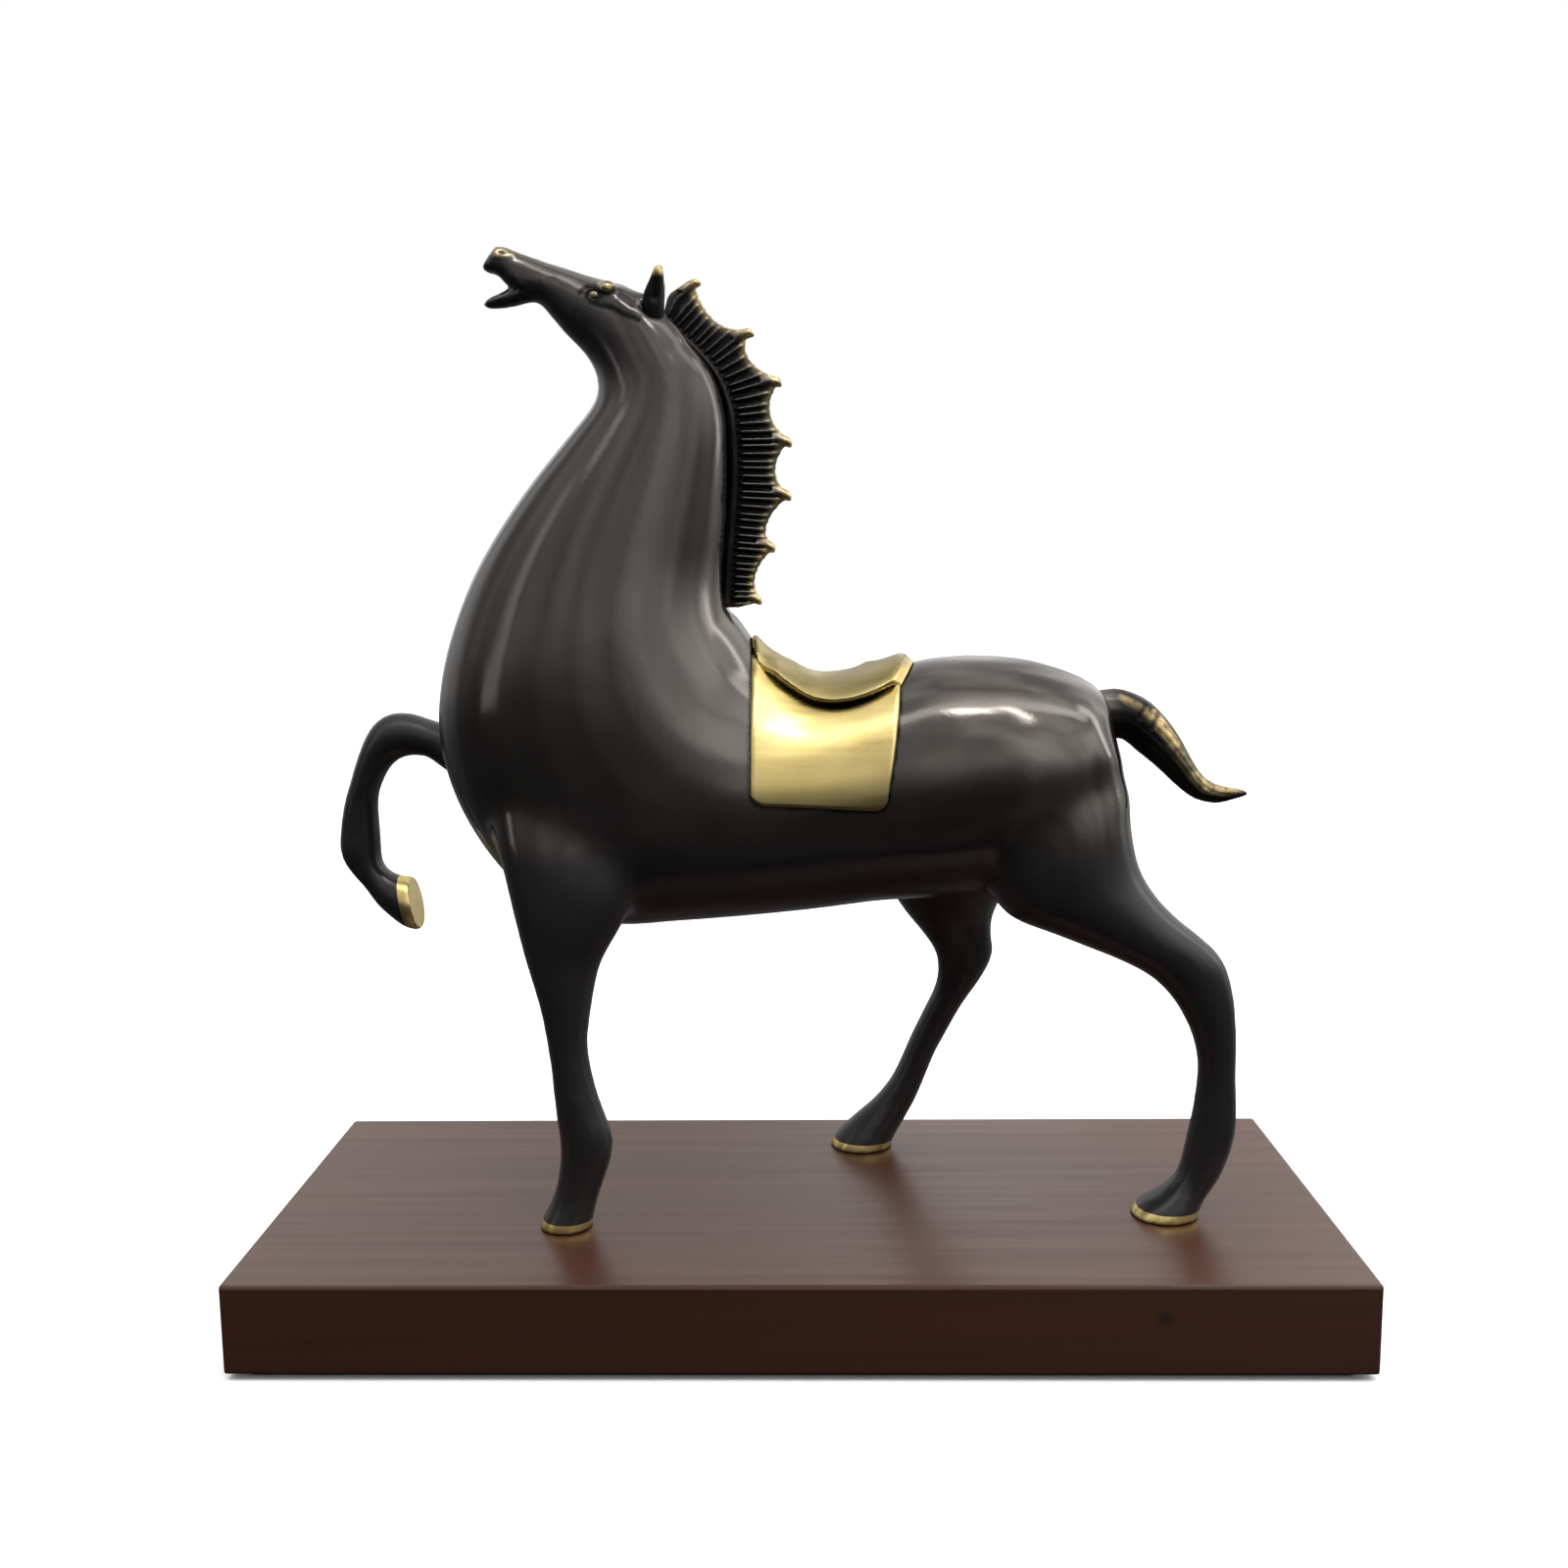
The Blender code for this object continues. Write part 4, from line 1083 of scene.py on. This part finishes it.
def lip_height(x):
    """Height of the seat's lower edge at places along the horse."""
    curve = np.where(x < LIP_MIDDLE, LIP_FRONT_CURVE, LIP_REAR_CURVE)
    return SEAT_LOW.z + LIP_LIFT + curve * (x - LIP_MIDDLE) ** 2


def make_flap(back, girth, material):
    """Brass cloth over the back, darker under the seat's lip and towards its hem."""
    length = FLAP_HIGH.x - FLAP_LOW.x

    def along(u, across):
        return FLAP_LOW.x + u * (length - FLAP_DRAW * across ** 2)

    def limit(x, u):
        near = min(u, 1 - u) * (length - FLAP_DRAW)
        inside = FLAP_CORNER - min(near, FLAP_CORNER)
        rise = FLAP_HEM - FLAP_TILT * u + FLAP_CORNER - math.sqrt(FLAP_CORNER ** 2 - inside ** 2)
        return math.pi / 2 - rise / girth

    def top(u, v, x):
        sides = min(u, 1 - u) * length
        hem = min(v, 1 - v) * math.pi * girth
        return FLAP_RISE * dome(min(sides, hem), FLAP_EDGE)

    flap = wrapped_sheet("flap", back, along, limit, top, lambda u, v, x: -SHEET_SINK)
    x, _, z = places_of(flap).T
    band = LIP_BAND * bell((x - LIP_MIDDLE) / LIP_HALF)
    shadow = ease(lip_height(x) - z, band + LIP_SHADE[0], band + LIP_SHADE[1])
    hem = FLAP_TARNISH * ease(z, FLAP_LOW.z + FLAP_TARNISH_HIGH, FLAP_LOW.z)
    mark(flap, dark=np.maximum(shadow, hem))
    return dress(flap, material, "polished_brass", "saddle_flap")


def make_seat(back, girth, material):
    """Seat over the flap, with a rolled lip that stands off it."""
    length = SEAT_HIGH.x - SEAT_LOW.x

    def along(u, across):
        front = FLAP_LOW.x - SEAT_FRONT_REACH + SEAT_FRONT_SLANT * across ** 2
        curl = SEAT_REAR_ROUND * across ** 2 + SEAT_REAR_CURL * across ** 8
        rear = SEAT_HIGH.x + SEAT_REAR_REACH - curl
        return front + u * (rear - front)

    def limit(x, u):
        return back.angle_at(x, lip_height(x), SEAT_RISE)

    def from_lip(v):
        return min(v, 1 - v) * 2 * girth

    def lip_gap(u, v):
        curl = max(1 - from_lip(v) / LIP_REACH, 0) ** 2
        return LIP_GAP * curl * math.sin(math.pi * u) ** LIP_ROLL

    def ends(u):
        rear = min((1 - u) * length / SEAT_REAR_EDGE, 1)
        return dome(u * length, SEAT_FRONT_EDGE) * rear * (2 - rear)

    def top(u, v, x):
        full = blend((SEAT_FRONT_RISE, SEAT_RISE), ease(u, 0, SEAT_FRONT_SHARE))
        crown = blend((FLAP_RISE, full), ends(u))
        lip = SEAT_THICKNESS * (1 - dome(from_lip(v), LIP_EDGE))
        return (crown + lip_gap(u, v) - lip) * min(ends(u) + END_HEIGHT, 1)

    def under(u, v, x):
        rim = ease(from_lip(v), *RIM_BAND)
        return blend((FLAP_RISE - SHEET_SINK, top(u, v, x) - RIM_THICKNESS), rim)

    seat = wrapped_sheet("seat", back, along, limit, top, under)
    x, _, z = places_of(seat).T
    mark(seat, dark=SEAT_DULL * ease(z - lip_height(x), *SEAT_DULL_START))
    return dress(seat, material, "polished_brass", "saddle_seat")


def make_saddle(skin_tree, material):
    """Flap and seat laid over the smooth back."""
    back = Back(skin_tree, FLAP_LOW.z)
    girth = (FLAP_HIGH.y - FLAP_LOW.y) / 2
    return [make_flap(back, girth, material), make_seat(back, girth, material)]


# Felt

def make_felt(material):
    """Felt sheet glued under the plinth, with softly rounded cut edges."""
    shape = solid_of("base_felt")
    bmesh.ops.dissolve_limit(shape, angle_limit=FLAT_TURN, verts=shape.verts, edges=shape.edges)
    rims = [e for e in shape.edges if e.calc_face_angle() > FELT_EDGE_TURN]
    bmesh.ops.bevel(shape, geom=rims, offset=FELT_EDGE, segments=FELT_EDGE_STEPS, profile=0.5,
                    affect="EDGES")
    felt = dress(object_of("felt_sheet", shape), material, "felt", "base_felt")


# Materials

class Nodes:
    """Short way to add and link shader nodes in a material or a world."""

    def __init__(self, owner):
        owner.use_nodes = True
        self.owner = owner
        self.tree = owner.node_tree
        self.shader = self.tree.nodes.get("Principled BSDF")

    def add(self, kind, inputs=(), **settings):
        node = self.tree.nodes.new("ShaderNode" + kind)
        for key, value in settings.items():
            setattr(node, key, value)
        for key, value in dict(inputs).items():
            self.feed(node.inputs[key], value)
        return node

    def feed(self, socket, value):
        if isinstance(value, bpy.types.NodeSocket):
            self.tree.links.new(value, socket)
        else:
            socket.default_value = value

    def set(self, **values):
        for key, value in values.items():
            self.feed(self.shader.inputs[key.replace("_", " ")], value)

    def mix(self, factor, low, high):
        node = self.add("Mix", data_type="RGBA")
        for socket, value in ((0, factor), (6, low), (7, high)):
            self.feed(node.inputs[socket], value)
        return node.outputs[2]

    def math(self, operation, first, second=0.5, clamp=False):
        node = self.add("Math", operation=operation, use_clamp=clamp)
        self.feed(node.inputs[0], first)
        self.feed(node.inputs[1], second)
        return node.outputs[0]

    def span(self, value, low, high, to_low=0.0, to_high=1.0):
        node = self.add("MapRange", {"Value": value, "From Min": low, "From Max": high,
                                     "To Min": to_low, "To Max": to_high})
        return node.outputs[0]

    def noise(self, scale, detail=4.0, stretch=(1, 1, 1), rough=0.55):
        where = self.add("TexCoord").outputs["Object"]
        if stretch != (1, 1, 1):
            where = self.add("Mapping", {"Vector": where, "Scale": stretch}).outputs[0]
        return self.add("TexNoise", {"Vector": where, "Scale": scale, "Detail": detail,
                                     "Roughness": rough}).outputs["Fac"]

    def ramp(self, value, steps):
        """Grey light along a value: each step is its place and light."""
        node = self.add("ValToRGB", {0: value})
        for place, _ in steps[1:-1]:
            node.color_ramp.elements.new(place)
        for element, (place, light) in zip(node.color_ramp.elements, steps):
            element.position = place
            element.color = (light, light, light, 1)
        return node.outputs[0]

    def attribute(self, name):
        return self.add("Attribute", attribute_name=name).outputs["Fac"]

    def bump(self, height, distance, strength=1.0):
        node = self.add("Bump", {"Height": height, "Distance": distance, "Strength": strength})
        self.feed(self.shader.inputs["Normal"], node.outputs[0])


def bronze_material():
    """Satin brown-grey patina over near-black, with brass rubbed bare in places."""
    n = Nodes(bpy.data.materials.new("bronze"))
    cloud = n.noise(22, 5)
    streak = n.noise(26, 4, (1.0, 1.0, 0.14))
    tone = n.mix(n.span(cloud, 0.35, 0.68), *BRONZE_TONES)
    tone = n.mix(n.span(streak, 0.45, 0.72, 0, 0.45), tone, BRONZE_STREAK)
    # The shade share darkens the bronze low down, on the raised leg, face, chest and neck, and less on
    # the nose's top with its painted sheen
    darkening_and_sheen = n.math("ADD", n.attribute("shade"), n.span(cloud, 0.3, 0.7, -0.12, 0.12), True)
    tone = n.mix(n.math("MULTIPLY", darkening_and_sheen, 0.95), tone, BRONZE_DARK_TONE)
    tone = n.mix(n.attribute("dark"), tone, BRONZE_RECESS)
    gold = n.math("MULTIPLY", n.attribute("rub"), n.span(n.noise(420, 3), 0.3, 0.6), True)
    tone = n.mix(gold, tone, BRONZE_GOLD)
    n.set(Base_Color=tone, Metallic=n.span(darkening_and_sheen, 0, 1, 0.95, 0.7))
    gloss = n.span(cloud, 0.3, 0.7, 0.11, 0.19)
    n.set(Roughness=n.math("ADD", gloss, n.span(darkening_and_sheen, 0.65, 1, 0, 0.14)))
    n.bump(n.noise(900, 3), 0.00005, 0.4)
    return n.owner


def black_material():
    """Near-black patina with brass rubbed bare on edges and tips."""
    n = Nodes(bpy.data.materials.new("black_bronze"))
    tone = n.mix(n.span(n.noise(60, 4), 0.35, 0.7), *BLACK_TONES)
    tone = n.mix(n.attribute("bronze"), tone, BLACK_BRONZE)
    tone = n.mix(n.attribute("dark"), tone, BLACK_RECESS)
    worn = n.span(n.noise(330, 3), 0.32, 0.62, 0.35, 1.15)
    gold = n.math("MULTIPLY", n.attribute("rub"), worn, True)
    tone = n.mix(gold, tone, BLACK_GOLD)
    n.set(Base_Color=tone, Metallic=0.9, Roughness=n.span(gold, 0, 1, 0.42, 0.3))
    n.bump(n.noise(700, 3), 0.00008, 0.5)
    return n.owner


def brass_material():
    """Satin brass with fine brushing along the horse and dark recesses."""
    n = Nodes(bpy.data.materials.new("brass"))
    brush = n.noise(260, 4, (0.06, 1.0, 1.0))
    cloud = n.noise(35, 4)
    tone = n.mix(n.span(cloud, 0.3, 0.7), *BRASS_TONES)
    tone = n.mix(n.span(brush, 0.35, 0.7, 0, 0.35), tone, BRASS_BRUSHED)
    tone = n.mix(n.attribute("dark"), tone, BRASS_RECESS)
    n.set(Base_Color=tone, Metallic=1.0, Roughness=n.span(brush, 0.3, 0.7, 0.24, 0.36))
    n.bump(brush, 0.00004, 0.4)
    return n.owner


def wood_material():
    """Dark red-brown stained wood with fine grain along the plinth and a small knot in front."""
    n = Nodes(bpy.data.materials.new("wood"))
    grain = n.noise(170, 5, (0.03, 1.0, 1.0), 0.6)
    broad = n.noise(18, 3, (0.12, 1.0, 1.0))
    tone = n.mix(n.span(broad, 0.3, 0.7), *WOOD_TONES)
    tone = n.mix(n.span(grain, 0.42, 0.75, 0, 0.5), tone, WOOD_GRAIN)
    where = n.add("TexCoord").outputs["Object"]
    away = n.add("VectorMath", {0: where, 1: KNOT_PLACE}, operation="DISTANCE").outputs["Value"]
    tone = n.mix(n.span(away, *KNOT_EDGE, 0, 0.8), tone, KNOT_TONE)
    n.set(Base_Color=tone, Roughness=n.span(grain, 0.3, 0.7, 0.30, 0.40))
    n.set(Specular_IOR_Level=0.68)
    n.bump(grain, 0.00005, 0.4)
    return n.owner


def felt_material():
    """Dark, dull felt with a fine fuzz."""
    n = Nodes(bpy.data.materials.new("felt_cloth"))
    fuzz = n.noise(1800, 4)
    n.set(Base_Color=n.mix(fuzz, *FELT_TONES), Roughness=0.95)
    n.bump(fuzz, 0.0003, 0.8)
    return n.owner


def steel_material():
    """Plain steel of the pins and fasteners."""
    n = Nodes(bpy.data.materials.new("plain_steel"))
    cloud = n.noise(300, 4)
    n.set(Base_Color=n.mix(cloud, *STEEL_TONES), Metallic=1.0,
          Roughness=n.span(cloud, 0.3, 0.7, 0.28, 0.45))
    return n.owner


# Stage

def make_world():
    """White backdrop; what the metal mirrors is darker low down and streaked with soft uprights."""
    world = bpy.context.scene.world or bpy.data.worlds.new("studio")
    bpy.context.scene.world = world
    n = Nodes(world)
    where = n.add("TexCoord").outputs["Generated"]
    way = n.add("SeparateXYZ", {0: where}).outputs
    height = n.span(way["Z"], -1, 1)
    depth = n.span(way["Y"], *WORLD_DEPTH)
    room = n.mix(depth, n.ramp(height, FRONT_LIGHT), n.ramp(height, BACK_LIGHT))
    flat = n.add("CombineXYZ", {"X": way["X"], "Y": way["Y"]}).outputs[0]
    noise = n.add("TexNoise", {"Vector": flat, "Scale": WORLD_STREAKS, "Detail": 1.0})
    streak = n.span(noise.outputs["Fac"], *STREAK_NOISE, *STREAK_LIGHT)
    share = n.math("MULTIPLY", n.span(way["X"], -1, 1, *WORLD_SIDES), streak)
    light = n.add("VectorMath", {0: room, "Scale": share}, operation="SCALE").outputs[0]
    direct = n.add("LightPath").outputs["Is Camera Ray"]
    n.feed(n.tree.nodes["Background"].inputs["Color"], n.mix(direct, light, WHITE))


def make_stage():
    """Pale floor and soft lamps."""
    shape = bmesh.new()
    bmesh.ops.create_grid(shape, x_segments=1, y_segments=1, size=FLOOR_HALF)
    floor = object_of("floor", shape)
    n = Nodes(bpy.data.materials.new("pale_floor"))
    n.set(Base_Color=FLOOR_TONE, Roughness=0.9)
    floor.data.materials.append(n.owner)
    floor.visible_glossy = False
    floor.visible_diffuse = False
    for name, kind, place, size, power in LAMPS:
        lamp = bpy.data.lights.new(name, kind)
        lamp.energy = power
        obj = object_from(name, lamp)
        obj.location = place
        obj.rotation_euler = (LAMP_TARGET - Vector(place)).to_track_quat("-Z", "Y").to_euler()
        if kind == "AREA":
            lamp.shape = "RECTANGLE"
            lamp.size, lamp.size_y = size
        else:
            lamp.angle = size
            obj.visible_glossy = False


def make_camera():
    """Camera at the photograph's place and angle."""
    cos_pitch, sin_pitch = math.cos(CAMERA_PITCH), math.sin(CAMERA_PITCH)
    ahead = Vector((math.sin(CAMERA_YAW) * cos_pitch, math.cos(CAMERA_YAW) * cos_pitch, sin_pitch))
    right = Vector((math.cos(CAMERA_YAW), -math.sin(CAMERA_YAW), 0))
    up = right.cross(ahead)
    turn = Matrix((right, up, -ahead)).transposed() @ Matrix.Rotation(CAMERA_ROLL, 3, "Z")
    data = bpy.data.cameras.new("camera")
    data.sensor_width = SENSOR
    data.lens = SENSOR * FOCAL_PIXELS / IMAGE_SIDE
    data.clip_start = 0.01
    camera = object_from("camera", data)
    camera.matrix_world = Matrix.Translation(CAMERA_PLACE) @ turn.to_4x4()
    bpy.context.scene.camera = camera


def bronze_darkening(places, upward):
    """1 where the bronze is darkest: low down, the raised leg and the face; less on the nose's top,
    where a painted sheen lightens it.
    """
    x, z = places[:, 0], places[:, 2]
    low = ease(z, DARK_HIGH, DARK_LOW)
    leg = ease(x, *DARK_LEG) * ease(z, *DARK_LEG_TOP)
    face = ease(x, *DARK_FACE) * ease(z, *DARK_FACE_FOOT)
    neck = CHEST_NECK_DARK_SHARE * np.maximum(ease(x, *DARK_CHEST), ease(z, *DARK_NECK))
    nose = ease(x, *NOSE_START) * ease(z, *NOSE_FOOT) * ease(upward, *NOSE_UP)
    # The nose term is a painted sheen that lightens the nose's top where it faces up
    return np.max((low, leg, FACE_SHARE * face, neck), axis=0) * (1 - NOSE_SHEEN * nose)


def darken_and_shade(obj, trees):
    """Darkens a casting low down, on the raised leg, the face and the neck, and paints shade beside the
    pieces set on it.
    """
    places = places_of(obj)
    upward = np.array([v.normal.z for v in obj.data.vertices])
    mark(obj, shade=bronze_darkening(places, upward))
    # Painted shade where the casting lies close to a piece set on it
    crevice_shade = np.zeros(len(places))
    for tree in trees:
        for index, place in enumerate(places):
            away = tree.find_nearest(place, CREVICE_SHADE_REACH)[3]
            if away is not None:
                crevice_shade[index] = max(crevice_shade[index], 1 - away / CREVICE_SHADE_REACH)
    crevice_shade = ease(crevice_shade, *CREVICE_SHADE_EDGE)
    layer = obj.data.attributes.get("dark")
    if layer:
        own = np.empty(len(places), np.float32)
        layer.data.foreach_get("value", own)
        layer.data.foreach_set("value", np.maximum(own, crevice_shade).astype(np.float32))
    else:
        mark(obj, dark=crevice_shade, rub=0)


def tree_from(obj):
    shape = bmesh.new()
    shape.from_mesh(obj.data)
    tree = BVHTree.FromBMesh(shape)
    shape.free()
    return tree


def main():
    bronze, black, brass = bronze_material(), black_material(), brass_material()
    skin = horse_skin()
    skin_tree = BVHTree.FromBMesh(skin)
    castings = split_castings(skin)
    head = head_object(castings.pop("head_casting"))
    dress(head, bronze, "bronze_patina", "head_casting")
    make_eyes(tree_from(head), black)
    make_mane(black)
    fitted = [*make_ears(black), make_tail(black), *make_saddle(skin_tree, brass)]
    trees = [tree_from(obj) for obj in fitted]
    darken_and_shade(head, trees)
    for name, shape in castings.items():
        obj = casting_object(name.replace("_casting", "") + "_skin", shape)
        if name in SHOES.values():
            height = places_of(obj)[:, 2] - PLINTH_TOP
            mark(obj, dark=ease(height, *SOLE_SHADE))
            dress(obj, brass, "polished_brass", name)
        else:
            darken_and_shade(obj, trees)
            dress(obj, bronze, "bronze_patina", name)

    make_felt(felt_material())
    wood, steel = wood_material(), steel_material()
    for name, node in nodes.items():
        if not node.hide_render:
            node.data.materials.clear()
            node.data.materials.append(wood if name == "plinth" else steel)

    make_stage()
    make_world()
    make_camera()
    bpy.context.scene.view_settings.view_transform = "Standard"


main()
